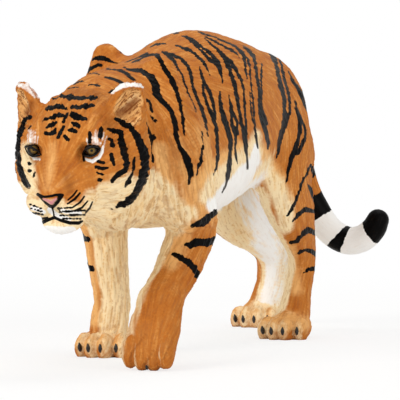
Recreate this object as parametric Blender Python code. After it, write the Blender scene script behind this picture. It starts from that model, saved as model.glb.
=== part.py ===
"""A walking tiger figurine, moulded in one piece of soft plastic.

It is modelled as a sculptor builds clay: round lumps and tapering limbs are laid over each other,
blended where they meet, and draped with one closed skin. Lengths here are in millimetres. The tiger
faces -Y, its left side is +X, and it stands on Z = 0.
"""

import math

import bmesh
import bpy
import numpy as np
from mathutils import Matrix

MM = 0.001

# Paint
FUR_COLOUR = (0.47, 0.22, 0.08)
FUR_ROUGHNESS = 0.5

# Skin
GRAIN = 0.75  # edge of the fine cells that the skin is woven from
SKIN_TRIANGLES = 9600  # after the flat areas are simplified
SINK = 0.9  # how far the soles run below the floor before they are cut flat

# Torso, from the nape to the rump: place along the spine, back, belly, half width
TORSO = (
    (-66.0, 49.5, 32.0, 8.5),
    (-58.0, 52.6, 28.6, 9.8),
    (-48.0, 54.6, 26.0, 11.2),
    (-36.0, 56.4, 24.7, 12.6),
    (-24.0, 59.2, 24.6, 13.4),
    (-10.0, 62.2, 25.6, 13.7),
    (6.0, 61.6, 28.6, 12.8),
    (20.0, 60.0, 32.6, 11.1),
    (32.0, 58.0, 37.4, 8.4),
    (39.0, 55.2, 42.0, 5.8),
)

# Shoulder blades: the top of each stands above the spine
LEFT_BLADE = ((7.0, -43.5, 54.0), (10.2, -46.0, 38.0))
RIGHT_BLADE = ((-8.0, -33.2, 56.6), (-10.2, -36.0, 38.0))
BLADE_TIP = 2.6
BLADE_FOOT = 4.6

# Round masses of the body: each has its centre and its three radii
SHOULDER_MASS = (5.0, 9.5, 10.0)
SHOULDER_OUT = 9.0  # from the middle to each shoulder's centre
SHOULDER_BACK = 3.0  # how far it lies behind the foot of the blade
SHOULDER_HEIGHT = 38.0
HIP_MASS = ((0, 29.3, 46.6), (9.4, 12.0, 10.9))
CHEST_MASS = ((0, -50, 33), (8.6, 9, 8))

# How softly the lumps of the body flow into each other where they meet
SPINE_BLEND = 1.0
BLADE_BLEND = 3.5
MASS_BLEND = 4.0
LEG_BLEND = 3.0
PAW_BLEND = 1.4
STEP_PAW_BLEND = 1.6
TOE_BLEND = 0.5
TAIL_BLEND = 2.0

# Legs: joint centres, each with its half width across and its half depth fore and aft
LEFT_ARM = (
    (10.2, -43.5, 38.0, 4.6, 8.0),
    (10.5, -39.5, 31.0, 4.8, 7.2),
    (10.2, -36.0, 25.5, 4.5, 5.5),
    (10.1, -39.5, 20.5, 4.3, 4.4),
    (9.8, -45.0, 16.0, 4.1, 3.8),
    (9.1, -50.2, 12.0, 3.8, 3.5),
)
RIGHT_ARM = (
    (-10.2, -36.5, 38.0, 4.6, 8.0),
    (-10.6, -31.0, 31.0, 4.7, 7.0),
    (-10.5, -27.8, 25.0, 4.3, 5.2),
    (-10.1, -27.0, 18.0, 3.9, 4.2),
    (-9.6, -26.2, 11.0, 3.4, 3.6),
    (-9.9, -26.8, 6.0, 3.7, 4.1),
)
LEFT_THIGH = (
    (6.0, 26.2, 47.2, 4.4, 9.0),
    (8.2, 24.5, 40.0, 5.2, 11.6),
    (8.9, 21.5, 33.5, 4.8, 10.2),
    (9.3, 26.0, 26.5, 4.1, 7.4),
    (9.2, 31.5, 20.0, 3.1, 4.8),
    (8.9, 33.8, 15.0, 2.7, 3.8),
    (8.5, 32.6, 10.0, 2.7, 3.3),
    (8.2, 31.0, 5.5, 3.2, 4.0),
)
RIGHT_THIGH = (
    (-6.0, 27.2, 47.2, 4.4, 9.0),
    (-8.0, 30.0, 40.0, 5.2, 10.8),
    (-8.4, 32.5, 32.0, 4.8, 9.8),
    (-8.2, 41.5, 26.0, 4.5, 7.6),
    (-7.6, 53.0, 21.5, 3.8, 5.6),
    (-7.2, 61.2, 17.0, 3.5, 4.9),
    (-7.4, 62.8, 10.5, 3.2, 4.2),
    (-8.6, 62.5, 5.5, 3.3, 4.2),
)

# Standing paws: heel centre on the floor, and the sizes that they share
RIGHT_FORE_PAW = (-9.9, -26.6)
LEFT_HIND_PAW = (7.8, 28.6)
RIGHT_HIND_PAW = (-9.5, 61.0)
FORE_PAW_HALF_WIDTH = 4.4
HIND_PAW_HALF_WIDTH = 4.6
PAW_HALF_LENGTH = 5.4
PAW_HEIGHT = 5.6
TOE_HALF_WIDTH = 1.5
TOE_HALF_LENGTH = 2.9
TOE_HEIGHT = 4.5
TOE_PLACES = ((-1.5, -3.4), (-0.5, -5.2), (0.5, -5.2), (1.5, -3.4))  # share of the spacing, reach
TOE_SPACING = 2.45
TOE_SPREAD = 8.0  # degrees that a toe turns outwards, for each share of the spacing

# Stepping paw: it hangs from the wrist with its toe tips on the floor
STEP_PAW = (
    (9.5, -50.6, 11.4, 4.1, 3.5),
    (9.5, -53.6, 7.4, 4.8, 3.3),
    (9.5, -55.0, 4.2, 4.7, 2.9),
)
STEP_TOE_TIP = (9.3, -56.2, 2.7)
STEP_TOE_RADII = (1.5, 2.1, 3.0)
STEP_TOE_SPACING = 2.3
STEP_TOE_LIFT = 0.5  # how much higher the two outer toes hang

# Tail: it hangs from the rump, swings to the left and turns up
TAIL = (
    (0.0, 37.0, 54.0, 4.4),
    (0.1, 43.5, 51.6, 4.0),
    (0.2, 49.5, 46.0, 3.5),
    (0.8, 53.8, 38.5, 3.2),
    (1.9, 56.6, 31.0, 3.0),
    (4.0, 58.0, 25.6, 3.0),
    (7.0, 58.5, 21.2, 3.0),
    (10.8, 58.5, 19.0, 3.0),
    (14.4, 58.2, 19.4, 2.9),
    (17.0, 57.8, 21.4, 2.7),
    (18.2, 57.4, 23.4, 2.4),
)

# Head: its own frame has the origin between the ears and jaw, and the nose along -Y
HEAD_CENTRE = (0.0, -66.2, 39.1)
HEAD_PITCH = 24.0  # degrees, nose down

# Lumps of the head: centre, three radii, and for some a turn in degrees
SKULL = ((0, 1.2, 1.6), (9.0, 9.6, 8.8))
FOREHEAD = ((0, -2.8, 5.2), (6.2, 5.0, 4.2))
JAW = ((0, -3.5, -5.4), (6.8, 7.5, 5.6))
NOSE = ((0, -13.9, -1.5), (2.5, 1.4, 1.6))
CHIN = ((0, -11.0, -7.5), (3.9, 3.6, 2.7))
MUZZLE_PAD = ((3.0, -11.2, -4.0), (3.1, 3.6, 2.7), (0, 0, -16))
CHEEK = ((6.1, -3.4, -1.6), (4.6, 5.4, 5.6), (0, 0, -18))
UNDER_EYE = ((3.9, -7.6, -0.9), (2.6, 3.4, 2.8))
BROW = ((5.0, -5.4, 5.4), (2.8, 1.6, 1.1), (0, 20, -24))
EYE_SOCKET = ((5.3, -7.8, 3.1), (2.1, 1.3, 1.3), (0, 12, -26))
EYEBALL = ((5.0, -5.9, 3.2), (1.7, 1.7, 1.5))

# Limbs of the head: the bridge of the nose, and the ruff that frames each cheek
NOSE_BRIDGE = (
    (0, -5, 3.0, 4.3, 3.2),
    (0, -9, 0.9, 3.9, 3.0),
    (0, -12.8, -1.5, 3.2, 2.4),
)
RUFF = (
    (9.0, 3.2, 5.6, 2.0, 2.6),
    (10.4, 2.4, 1.0, 2.1, 3.2),
    (10.0, 1.0, -4.0, 2.2, 3.4),
    (7.2, -0.8, -8.0, 2.2, 3.0),
    (4.0, -3.0, -9.6, 2.2, 2.6),
)

# Ears: each is a leaf with a hollow front, in its own frame with the root at 0 and the hollow along -Y
EAR_ROOT = (9.2, 2.3, 4.5)
EAR_LEAF = (
    (-0.7, 0.0, -1.0, 3.7, 2.2),
    (-0.4, 0.4, 2.0, 4.0, 1.9),
    (0.3, 0.6, 4.4, 3.5, 1.4),
    (1.5, 0.6, 6.1, 1.9, 0.9),
)
EAR_HOLLOW = (
    (-0.4, -1.8, 1.9, 2.2, 1.5),
    (-0.1, -1.5, 3.2, 2.7, 1.7),
    (0.6, -0.9, 4.8, 2.1, 1.2),
)
EAR_OUTWARD = 42.0  # degrees that the hollow turns to the side
EAR_LEAN = 9.0  # degrees that the leaf leans outwards
EAR_TILT = -5.0  # degrees that it leans back on the pitched head

FAR = 1000.0  # stands for a point out of a lump's reach
REACH = 2.0  # how far beyond its own blend a lump is felt
STRIDE = 1.2  # the most that a point of the skin moves in one round


def mirrored(point):
    return (-point[0], point[1], point[2])


class Ball:
    """An egg-shaped lump: centre, three radii, and a turn in degrees."""

    def __init__(self, centre, radii, turn=(0, 0, 0), blend=1.0, cut=False):
        self.centre = np.array(centre, float)
        self.radii = np.array(radii, float)
        self.axes = turned(*turn)
        self.blend = blend
        self.cut = cut

    def placed(self, turn, shift):
        self.axes = turn @ self.axes
        self.centre = turn @ self.centre + shift
        return self

    def distance(self, points):
        nearest = np.full(len(points), FAR)
        near = (np.abs(points - self.centre) < self.radii.max() + self.blend + REACH).all(1)
        nearest[near] = egg_distance((points[near] - self.centre) @ self.axes, self.radii)
        return nearest

    def rings(self):
        """Circles from one pole to the other, as rows of points."""
        angles = np.linspace(0.04, math.pi - 0.04, 14)
        circle = round_points()
        rounds = [np.c_[math.sin(a) * circle, np.full(len(circle), math.cos(a))] for a in angles]
        return [[(ring * self.radii) @ self.axes.T + self.centre for ring in rounds]]


class Limb:
    """A tapering limb along a smooth line: x, y, z, half width across, half depth."""

    def __init__(self, stations, blend=1.0, cut=False, steps=4):
        rows = [(*s, s[3]) if len(s) == 4 else s for s in stations]
        self.rows = smooth_rows(np.array(rows, float), steps)
        self.turn = np.eye(3)
        self.shift = np.zeros(3)
        self.blend = blend
        self.cut = cut

    def placed(self, turn, shift):
        self.turn = turn @ self.turn
        self.shift = turn @ self.shift + shift
        return self

    def distance(self, points):
        points = (points - self.shift) @ self.turn
        nearest = np.full(len(points), FAR)
        for a, b in zip(self.rows[:-1], self.rows[1:]):
            line = b[:3] - a[:3]
            length = np.linalg.norm(line)
            margin = length / 2 + max(a[3:].max(), b[3:].max()) + self.blend + REACH
            near = (np.abs(points - (a[:3] + b[:3]) / 2) < margin).all(1)
            if not near.any():
                continue
            along, across, depth = limb_axes(line)
            offsets = points[near] - a[:3]
            t = np.clip(offsets @ along / length, 0, 1)[:, None]
            offsets = (offsets - t * line) @ np.stack([across, depth, along], 1)
            radii = a[3:] + t * (b[3:] - a[3:])
            radii = np.c_[radii, radii.mean(1)]
            nearest[near] = np.minimum(nearest[near], egg_distance(offsets, radii))
        return nearest

    def rings(self):
        """Slices along the limb, and a round end cap at each end, as rows of points."""
        circle = round_points()
        slices = []
        for row, line in zip(self.rows, np.gradient(self.rows[:, :3], axis=0)):
            _, across, depth = limb_axes(line)
            slices.append(row[:3] + circle * row[3:] @ np.stack([across, depth]))
        caps = [Ball(end[:3], (end[3], end[3:].mean(), end[4])).rings()[0] for end in self.rows[[0, -1]]]
        return [[ring @ self.turn.T + self.shift for ring in rings] for rings in (slices, *caps)]


class Trunk(Limb):
    """The torso: egg-shaped slices across the Y axis, with smooth back, belly and sides."""

    def distance(self, points):
        nearest = np.full(len(points), FAR)
        near = (points[:, 1] >= self.rows[0, 1]) & (points[:, 1] <= self.rows[-1, 1])
        here = points[near]
        slices = [np.interp(here[:, 1], self.rows[:, 1], self.rows[:, k]) for k in (2, 3, 4)]
        offsets = np.stack([here[:, 0], here[:, 2] - slices[0]], 1)
        nearest[near] = egg_distance(offsets, np.stack(slices[1:], 1))
        return nearest


def egg_distance(offsets, radii):
    """Close to the signed distance from an egg shape, for offsets from its centre."""
    share = np.linalg.norm(offsets / radii, axis=1)
    slope = np.linalg.norm(offsets / radii**2, axis=1)
    return share * (share - 1) / np.maximum(slope, 1e-9)


def round_points(count=20):
    """Points of a unit circle."""
    angles = np.arange(count) * 2 * math.pi / count
    return np.stack([np.cos(angles), np.sin(angles)], 1)


def limb_axes(line):
    """Unit vectors along a limb, across it and through its depth."""
    along = line / np.linalg.norm(line)
    across = np.array([1.0, 0, 0]) - along[0] * along
    across /= np.linalg.norm(across)
    return along, across, np.cross(along, across)


def smooth_rows(rows, steps):
    """The rows with more between them, on a smooth curve through all of them."""
    before = np.vstack([2 * rows[0] - rows[1], rows, 2 * rows[-1] - rows[-2]])
    found = []
    for k in range(len(rows) - 1):
        a, b, c, d = before[k : k + 4]
        for t in np.arange(steps) / steps:
            found.append(
                0.5 * (2 * b + (c - a) * t + (2 * a - 5 * b + 4 * c - d) * t**2
                       + (3 * b - a - 3 * c + d) * t**3)
            )
    return np.array([*found, rows[-1]])


def turned(x, y, z):
    """The rotation by these degrees about X, then Y, then Z."""
    about_x, about_y, about_z = (
        Matrix.Rotation(math.radians(angle), 3, axis) for angle, axis in zip((x, y, z), "XYZ")
    )
    return np.array(about_z @ about_y @ about_x)


def both_sides(centre, radii, turn=(0, 0, 0), **options):
    """A Ball and its mirror image."""
    rx, ry, rz = turn
    return [
        Ball(centre, radii, turn, **options),
        Ball(mirrored(centre), radii, (rx, -ry, -rz), **options),
    ]


def both_limbs(stations, **options):
    """A Limb and its mirror image."""
    return [
        Limb(stations, **options),
        Limb([mirrored(s) + tuple(s[3:]) for s in stations], **options),
    ]


def both_ears(stations, **options):
    """A Limb in the left ear's frame, set in its place, and its mirror image on the right."""
    lumps = []
    for side, limb in zip((1, -1), both_limbs(stations, **options)):
        lean = turned(EAR_TILT, side * EAR_LEAN, 0) @ turned(0, 0, side * EAR_OUTWARD)
        lumps.append(limb.placed(lean, np.array(EAR_ROOT) * (side, 1, 1)))
    return lumps


def torso():
    rows = [
        (0, y, (back + belly) / 2, half_width, (back - belly) / 2)
        for y, back, belly, half_width in TORSO
    ]
    lumps = [Trunk(rows, blend=SPINE_BLEND, steps=8)]
    for tip, foot in (LEFT_BLADE, RIGHT_BLADE):
        side = math.copysign(1, tip[0])
        lumps.append(Limb([(*tip, BLADE_TIP), (*foot, BLADE_FOOT)], blend=BLADE_BLEND))
        shoulder = (side * SHOULDER_OUT, foot[1] + SHOULDER_BACK, SHOULDER_HEIGHT)
        lumps.append(Ball(shoulder, SHOULDER_MASS, blend=MASS_BLEND))
    lumps.append(Ball(*HIP_MASS, blend=MASS_BLEND))
    lumps.append(Ball(*CHEST_MASS, blend=MASS_BLEND))
    return lumps


def legs():
    return [Limb(rows, blend=LEG_BLEND) for rows in (LEFT_ARM, RIGHT_ARM, LEFT_THIGH, RIGHT_THIGH)]


def standing_paw(place, half_width):
    """A paw flat on the floor: its body and four toes."""
    x, y = place
    middle = (PAW_HEIGHT - SINK) / 2
    radii = (half_width, PAW_HALF_LENGTH, PAW_HEIGHT / 2 + 0.6)
    lumps = [Ball((x, y, middle - 0.2), radii, blend=PAW_BLEND)]
    for share, reach in TOE_PLACES:
        across = share * TOE_SPACING
        lumps.append(
            Ball(
                (x + across, y + reach, (TOE_HEIGHT - SINK) / 2),
                (TOE_HALF_WIDTH, TOE_HALF_LENGTH, (TOE_HEIGHT + SINK) / 2),
                turn=(0, 0, TOE_SPREAD * share),
                blend=TOE_BLEND,
            )
        )
    return lumps


def stepping_paw():
    lumps = [Limb(STEP_PAW, blend=STEP_PAW_BLEND)]
    x, y, z = STEP_TOE_TIP
    for share, _ in TOE_PLACES:
        lift = STEP_TOE_LIFT * (abs(share) > 1)
        lumps.append(Ball((x + share * STEP_TOE_SPACING, y, z + lift), STEP_TOE_RADII, blend=TOE_BLEND))
    return lumps


def tail():
    return [Limb(TAIL, blend=TAIL_BLEND, steps=5)]


def head():
    """The head's lumps in its own frame, then pitched and set on the neck."""
    lumps = [
        Ball(*SKULL, blend=2.5),
        Ball(*FOREHEAD, blend=2.0),
        Ball(*JAW, blend=2.0),
        Limb(NOSE_BRIDGE, blend=1.6),
        Ball(*NOSE, blend=0.6),
        Ball(*CHIN, blend=1.0),
    ]
    lumps += both_sides(*MUZZLE_PAD, blend=0.8)
    lumps += both_sides(*CHEEK, blend=1.8)
    lumps += both_sides(*UNDER_EYE, blend=1.8)
    lumps += both_sides(*BROW, blend=1.4)
    lumps += both_limbs(RUFF, blend=1.8)
    lumps += both_sides(*EYE_SOCKET, blend=1.2, cut=True)
    lumps += both_ears(EAR_LEAF, blend=1.2)
    lumps += both_ears(EAR_HOLLOW, blend=0.5, cut=True)
    lumps += both_sides(*EYEBALL, blend=0.3)
    return [lump.placed(turned(HEAD_PITCH, 0, 0), np.array(HEAD_CENTRE)) for lump in lumps]


def all_lumps():
    lumps = torso() + legs() + tail() + stepping_paw()
    lumps += standing_paw(RIGHT_FORE_PAW, FORE_PAW_HALF_WIDTH)
    lumps += standing_paw(LEFT_HIND_PAW, HIND_PAW_HALF_WIDTH)
    lumps += standing_paw(RIGHT_HIND_PAW, HIND_PAW_HALF_WIDTH)
    return lumps + head()


def clay(points, lumps):
    """Signed distance from the points to the blended lumps."""
    field = np.full(len(points), FAR)
    for lump in lumps:
        distance = lump.distance(points)
        near = distance < FAR
        here = field[near]
        there = distance[near]
        if lump.cut:
            here = -here
        overlap = np.maximum(lump.blend - np.abs(here - there), 0)
        merged = np.minimum(here, there) - overlap**2 / lump.blend / 4
        field[near] = -merged if lump.cut else merged
    return field


def drape(mesh, lumps, rounds):
    """Moves each point of the skin along its normal onto the clay, easing the skin between."""
    step = 0.02
    for _ in range(rounds):
        bmesh.ops.smooth_vert(
            mesh, verts=mesh.verts, factor=0.5, use_axis_x=True, use_axis_y=True, use_axis_z=True
        )
        mesh.normal_update()
        points = np.array([v.co for v in mesh.verts])
        normals = np.array([v.normal for v in mesh.verts])
        field = clay(points, lumps)
        slope = (clay(points + step * normals, lumps) - field) / step
        shift = np.clip(-field / np.maximum(slope, 0.5), -STRIDE, STRIDE)
        points += shift[:, None] * normals
        for vertex, point in zip(mesh.verts, points):
            vertex.co = point


def woven_skin(lumps):
    """One closed skin round the raw lumps, woven in cells of one size."""
    points = []
    faces = []
    for rings in [rings for lump in lumps if not lump.cut for rings in lump.rings()]:
        sides = len(rings[0])
        first = len(points)
        points += [point for ring in rings for point in ring]
        for k in range(len(rings) - 1):
            near = first + k * sides
            for n in range(sides):
                m = (n + 1) % sides
                faces.append((near + n, near + m, near + sides + m, near + sides + n))
        faces.append(range(first + sides - 1, first - 1, -1))
        faces.append(range(len(points) - sides, len(points)))
    data = bpy.data.meshes.new("tiger")
    data.from_pydata(points, [], faces)
    tiger = bpy.data.objects.new("tiger", data)
    bpy.context.scene.collection.objects.link(tiger)
    weave = tiger.modifiers.new("weave", "REMESH")
    weave.mode = "VOXEL"
    weave.voxel_size = GRAIN
    graph = bpy.context.evaluated_depsgraph_get()
    tiger.data = bpy.data.meshes.new_from_object(tiger.evaluated_get(graph))
    tiger.modifiers.clear()
    return tiger


def cut_soles(mesh):
    """Cuts the paws flat where they stand on the floor."""
    geometry = mesh.verts[:] + mesh.edges[:] + mesh.faces[:]
    cut = bmesh.ops.bisect_plane(
        mesh, geom=geometry, plane_co=(0, 0, 0), plane_no=(0, 0, -1), clear_outer=True, dist=1e-3
    )
    rim = [edge for edge in cut["geom_cut"] if isinstance(edge, bmesh.types.BMEdge)]
    bmesh.ops.holes_fill(mesh, edges=rim, sides=0)
    bmesh.ops.triangulate(mesh, faces=mesh.faces[:])


def simplified(tiger, triangles):
    """Fewer triangles, with the most kept where the skin bends most."""
    thin = tiger.modifiers.new("thin", "DECIMATE")
    thin.ratio = triangles / sum(len(face.vertices) - 2 for face in tiger.data.polygons)
    graph = bpy.context.evaluated_depsgraph_get()
    tiger.data = bpy.data.meshes.new_from_object(tiger.evaluated_get(graph))
    tiger.modifiers.clear()


def settled(mesh):
    """Sets the origin under the middle of the figure and turns millimetres into metres."""
    points = np.array([vertex.co for vertex in mesh.verts])
    middle = (points.min(0) + points.max(0)) / 2
    mesh.transform(Matrix.Scale(MM, 4) @ Matrix.Translation((-middle[0], -middle[1], 0)))


def painted(name, colour, roughness):
    material = bpy.data.materials.new(name)
    material.use_nodes = True
    shader = material.node_tree.nodes["Principled BSDF"]
    shader.inputs["Base Color"].default_value = (*colour, 1)
    shader.inputs["Roughness"].default_value = roughness
    shader.inputs["Metallic"].default_value = 0
    return material


def build():
    for obj in list(bpy.data.objects):
        bpy.data.objects.remove(obj)
    lumps = all_lumps()
    tiger = woven_skin(lumps)
    mesh = bmesh.new()
    mesh.from_mesh(tiger.data)
    drape(mesh, lumps, rounds=3)
    mesh.to_mesh(tiger.data)
    simplified(tiger, SKIN_TRIANGLES)
    mesh.clear()
    mesh.from_mesh(tiger.data)
    cut_soles(mesh)
    settled(mesh)
    mesh.to_mesh(tiger.data)
    mesh.free()
    tiger.data.materials.append(painted("painted fur", FUR_COLOUR, FUR_ROUGHNESS))
    return tiger


tiger = build()
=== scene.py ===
import math

import bmesh
import bpy
import numpy as np
from mathutils import Matrix, Vector


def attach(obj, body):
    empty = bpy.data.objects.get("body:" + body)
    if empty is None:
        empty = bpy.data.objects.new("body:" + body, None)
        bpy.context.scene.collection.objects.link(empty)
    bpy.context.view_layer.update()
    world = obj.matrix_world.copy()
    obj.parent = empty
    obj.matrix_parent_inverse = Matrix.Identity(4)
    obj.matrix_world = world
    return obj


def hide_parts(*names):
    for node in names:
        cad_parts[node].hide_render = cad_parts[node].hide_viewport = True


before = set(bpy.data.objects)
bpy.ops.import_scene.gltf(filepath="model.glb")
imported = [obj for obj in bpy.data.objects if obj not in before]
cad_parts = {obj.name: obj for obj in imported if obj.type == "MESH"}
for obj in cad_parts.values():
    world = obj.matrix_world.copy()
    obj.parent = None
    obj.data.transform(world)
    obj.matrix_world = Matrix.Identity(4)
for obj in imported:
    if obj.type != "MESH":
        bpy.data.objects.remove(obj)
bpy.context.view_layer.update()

# The tiger is shaped in millimetres. He faces -Y, his left side is +X, and the floor is Z = 0.
place = {
    "metre": 1000.0,
    "middle": (2.356, -6.455),  # what the finished model's origin is called while he is shaped
    "eye": (201.4, -556.9, 45.0),  # the camera's own place
    "heading": 20.0,  # degrees that the camera stands towards his left
    "droop": 1.547,  # degrees that it looks down
    "photoSize": 400,
    "focal": 3000.0,  # in the photo's pixels
}


# Places on the photo: (x, y, z) in millimetres to pixels

turnAngle = math.radians(place["heading"])
droopAngle = math.radians(place["droop"])
sightLine = np.array([-math.sin(turnAngle) * math.cos(droopAngle),
                      math.cos(turnAngle) * math.cos(droopAngle), -math.sin(droopAngle)])
sightRight = np.array([math.cos(turnAngle), math.sin(turnAngle), 0])
sightUp = np.cross(sightRight, sightLine)


def toPhoto(points):
    away = points - np.array(place["eye"])
    depth = away @ sightLine
    half = place["photoSize"] / 2
    across = half + place["focal"] * (away @ sightRight) / depth
    down = half - place["focal"] * (away @ sightUp) / depth
    return np.stack([across, down], 1)


# Clay: lumps that are blended where they meet

farAway = 1000.0  # the distance given where a lump isn't felt
reach = 2.0  # how far past its own blend a lump is felt


def turnedBy(x, y, z):  # degrees about X, then Y, then Z
    turns = [Matrix.Rotation(math.radians(angle), 3, axis) for angle, axis in zip((x, y, z), "XYZ")]
    return np.array(turns[2] @ turns[1] @ turns[0])


def eggDistance(offsets, radii):
    share = np.linalg.norm(offsets / radii, axis=1)
    slope = np.linalg.norm(offsets / radii**2, axis=1)
    return share * (share - 1) / np.maximum(slope, 1e-9)


def limbAxes(line):
    along = line / np.linalg.norm(line)
    across = np.array([1.0, 0, 0]) - along[0] * along
    across /= np.linalg.norm(across)
    return along, across, np.cross(along, across)


def roundPoints(count=20):
    angles = np.arange(count) * 2 * math.pi / count
    return np.stack([np.cos(angles), np.sin(angles)], 1)


def smoothRows(rows, steps):  # more rows, on a smooth curve through the given ones
    rows = np.asarray(rows, float)
    around = np.vstack([2 * rows[0] - rows[1], rows, 2 * rows[-1] - rows[-2]])
    found = []
    for k in range(len(rows) - 1):
        a, b, c, d = around[k:k + 4]
        for t in np.arange(steps) / steps:
            found.append(0.5 * (2 * b + (c - a) * t + (2 * a - 5 * b + 4 * c - d) * t**2
                                + (3 * b - a - 3 * c + d) * t**3))
    return np.array([*found, rows[-1]])


class Ball:
    def __init__(self, centre, radii, turn=(0, 0, 0), blend=1.0, cut=False):
        self.centre = np.array(centre, float)
        self.radii = np.array(radii, float)
        self.axes = turnedBy(*turn)
        self.blend = blend
        self.cut = cut

    def placed(self, turn, shift):
        self.axes = turn @ self.axes
        self.centre = turn @ self.centre + shift
        return self

    def distance(self, points):
        nearest = np.full(len(points), farAway)
        near = (np.abs(points - self.centre) < self.radii.max() + self.blend + reach).all(1)
        nearest[near] = eggDistance((points[near] - self.centre) @ self.axes, self.radii)
        return nearest

    def rings(self):
        circle = roundPoints()
        rounds = [np.c_[math.sin(a) * circle, np.full(len(circle), math.cos(a))]
                  for a in np.linspace(0.04, math.pi - 0.04, 14)]
        return [[(ring * self.radii) @ self.axes.T + self.centre for ring in rounds]]


class Limb:
    def __init__(self, stations, blend=1.0, cut=False, steps=4):
        rows = [(*s, s[3]) if len(s) == 4 else s for s in stations]
        self.rows = smoothRows(rows, steps)
        self.turn = np.eye(3)
        self.shift = np.zeros(3)
        self.blend = blend
        self.cut = cut

    def placed(self, turn, shift):
        self.turn = turn @ self.turn
        self.shift = turn @ self.shift + shift
        return self

    def distance(self, points):
        points = (points - self.shift) @ self.turn
        nearest = np.full(len(points), farAway)
        for a, b in zip(self.rows[:-1], self.rows[1:]):
            line = b[:3] - a[:3]
            length = np.linalg.norm(line)
            margin = length / 2 + max(a[3:].max(), b[3:].max()) + self.blend + reach
            near = (np.abs(points - (a[:3] + b[:3]) / 2) < margin).all(1)
            if not near.any():
                continue
            along, across, depth = limbAxes(line)
            offsets = points[near] - a[:3]
            t = np.clip(offsets @ along / length, 0, 1)[:, None]
            offsets = (offsets - t * line) @ np.stack([across, depth, along], 1)
            radii = a[3:] + t * (b[3:] - a[3:])
            radii = np.c_[radii, radii.mean(1)]
            nearest[near] = np.minimum(nearest[near], eggDistance(offsets, radii))
        return nearest

    def rings(self):
        circle = roundPoints()
        slices = []
        for row, line in zip(self.rows, np.gradient(self.rows[:, :3], axis=0)):
            _, across, depth = limbAxes(line)
            slices.append(row[:3] + circle * row[3:] @ np.stack([across, depth]))
        caps = [Ball(end[:3], (end[3], end[3:].mean(), end[4])).rings()[0] for end in self.rows[[0, -1]]]
        return [[ring @ self.turn.T + self.shift for ring in rings] for rings in (slices, *caps)]


class Trunk(Limb):  # slices across the Y axis
    def distance(self, points):
        nearest = np.full(len(points), farAway)
        near = (points[:, 1] >= self.rows[0, 1]) & (points[:, 1] <= self.rows[-1, 1])
        here = points[near]
        slices = [np.interp(here[:, 1], self.rows[:, 1], self.rows[:, k]) for k in (2, 3, 4)]
        offsets = np.stack([here[:, 0], here[:, 2] - slices[0]], 1)
        nearest[near] = eggDistance(offsets, np.stack(slices[1:], 1))
        return nearest


def bothSides(centre, radii, turn=(0, 0, 0), **options):
    rx, ry, rz = turn
    other = (-centre[0], centre[1], centre[2])
    return [Ball(centre, radii, turn, **options), Ball(other, radii, (rx, -ry, -rz), **options)]


def bothLimbs(stations, **options):
    other = [(-s[0], *s[1:]) for s in stations]
    return [Limb(stations, **options), Limb(other, **options)]


def clay(points, lumps):  # signed distance to the blended lumps
    field = np.full(len(points), farAway)
    for lump in lumps:
        distance = lump.distance(points)
        near = distance < farAway
        here = field[near]
        there = distance[near]
        if lump.cut:
            here = -here
        overlap = np.maximum(lump.blend - np.abs(here - there), 0)
        merged = np.minimum(here, there) - overlap**2 / lump.blend / 4
        field[near] = -merged if lump.cut else merged
    return field


# The body: torso, legs, paws and tail

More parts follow.
